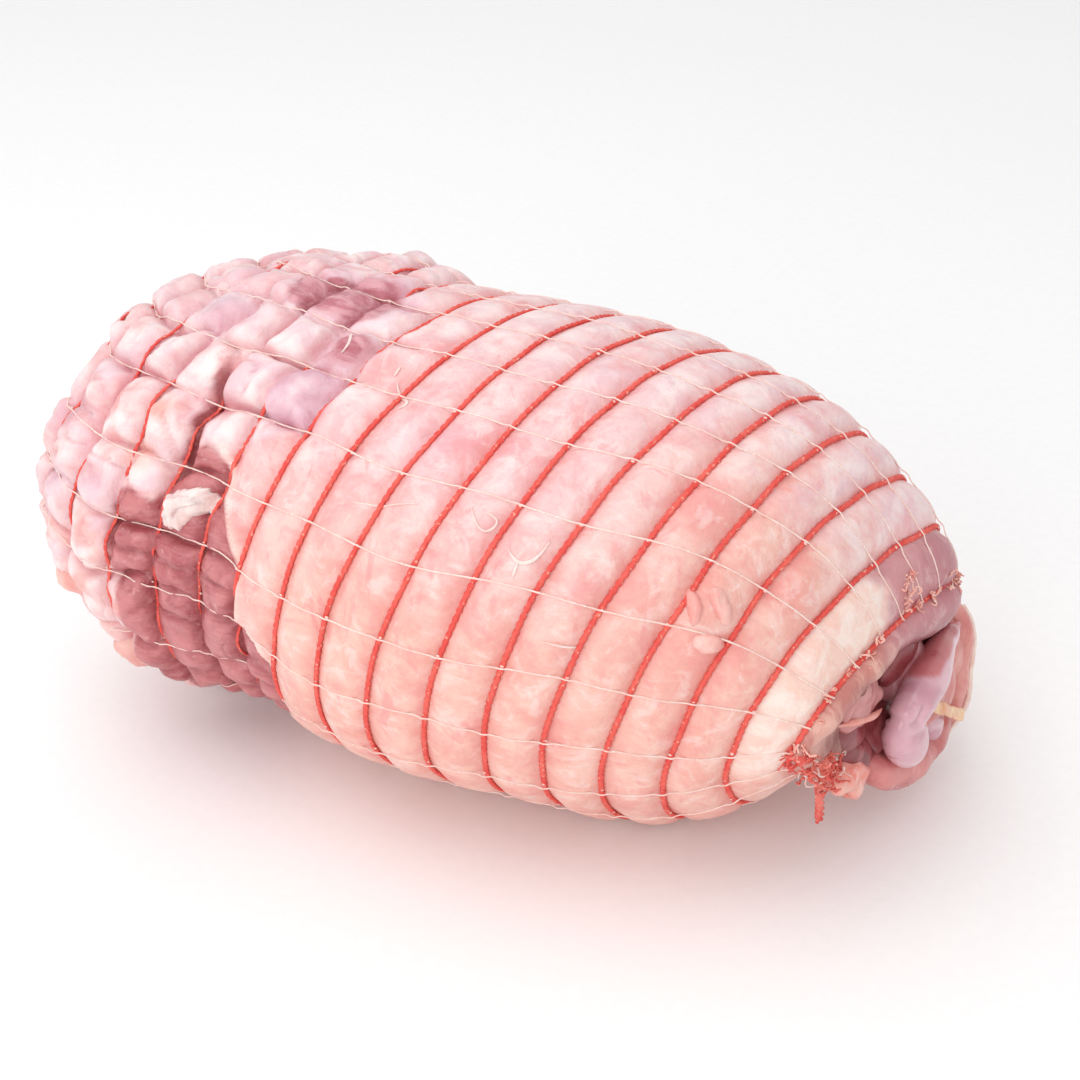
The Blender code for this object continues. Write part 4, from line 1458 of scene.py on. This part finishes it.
def make_light():
    """A white studio with two soft lamps."""
    world = bpy.data.worlds.new("studio")
    bpy.context.scene.world = world
    world.use_nodes = True
    background = world.node_tree.nodes["Background"]
    background.inputs["Color"].default_value = (1.0, 1.0, 1.0, 1.0)
    background.inputs["Strength"].default_value = WORLD_STRENGTH
    for name, place, size, power in LAMPS:
        lamp = bpy.data.lights.new(name, "AREA")
        lamp.size = size
        lamp.energy = power
        made = placed(name, lamp)
        made.location = place
        made.rotation_euler = (Vector(LIGHT_TARGET) - Vector(place)).to_track_quat("-Z", "Y").to_euler()


def make_floor():
    """A plain pale floor."""
    look = Look("floor", roughness=0.6)
    grain = look.noise(300.0, 2.0, 0.55)
    material = look.finish(look.between(grain, 0.3, 0.7, ((252, 252, 252), (254, 254, 254))))
    mesh = bpy.data.meshes.new("floor")
    corners = [(FLOOR_REACH * x, FLOOR_REACH * y, 0) for x, y in ((-1, -1), (1, -1), (1, 1), (-1, 1))]
    mesh.from_pydata(corners, [], [(0, 1, 2, 3)])
    mesh.materials.append(material)
    placed("floor", mesh)


# The photo's viewpoint, in degrees and metres, round a place given in the roll's own axes
CAMERA_AZIMUTH = 33.7816
CAMERA_ELEVATION = 30.352
CAMERA_DISTANCE = 0.55098
CAMERA_TARGET = (0.00595, 0.0, 0.06048)
CAMERA_FIELD = 28.8528


def make_camera():
    """The camera that sees the part as the photo does."""
    azimuth = math.radians(CAMERA_AZIMUTH)
    elevation = math.radians(CAMERA_ELEVATION)
    target = Vector(CAMERA_TARGET) + Vector(CENTRE_SHIFT * MM)
    level = math.cos(elevation)
    back = Vector((math.sin(azimuth) * level, -math.cos(azimuth) * level, math.sin(elevation)))
    lens = bpy.data.cameras.new("camera")
    lens.sensor_fit = "HORIZONTAL"
    lens.angle = math.radians(CAMERA_FIELD)
    made = placed("camera", lens)
    made.location = target + CAMERA_DISTANCE * back
    made.rotation_euler = (-back).to_track_quat("-Z", "Y").to_euler()
    bpy.context.scene.camera = made


# Bands from this ring on are a piece of their own
FIRST_FAR_BAND = 10
# Yarns: two colours, the specks' colour and how common they are
RED_YARN = (((228, 78, 70), (238, 102, 90)), (250, 178, 160), 0.02)
PALE_YARN = (((250, 226, 216), (244, 208, 198)), (255, 240, 234), 0.05)
FRAYED_YARN = (((246, 198, 184), (238, 160, 146)), (252, 226, 214), 0.04)
KNOT_YARN = (((222, 84, 76), (238, 132, 118)), (250, 190, 174), 0.04)


def main():
    bpy.context.scene.view_settings.view_transform = "Standard"
    make_camera()
    make_light()
    make_floor()
    meat = make_meat()
    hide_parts("meat")
    red = yarn_look("red_yarn", *RED_YARN)
    pale = yarn_look("pale_yarn", *PALE_YARN)
    near = make_bands(range(FIRST_FAR_BAND), "net_bands_near", red)
    make_bands(range(FIRST_FAR_BAND, LAST_RING + 1), "net_bands_far", red)
    make_threads(pale)
    make_crossings(pale)
    make_scraps()
    make_membranes()
    make_shank()
    make_tangles(yarn_look("frayed_yarn", *FRAYED_YARN))
    make_knot(yarn_look("knot_yarn", *KNOT_YARN), pale)
    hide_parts("net")


main()
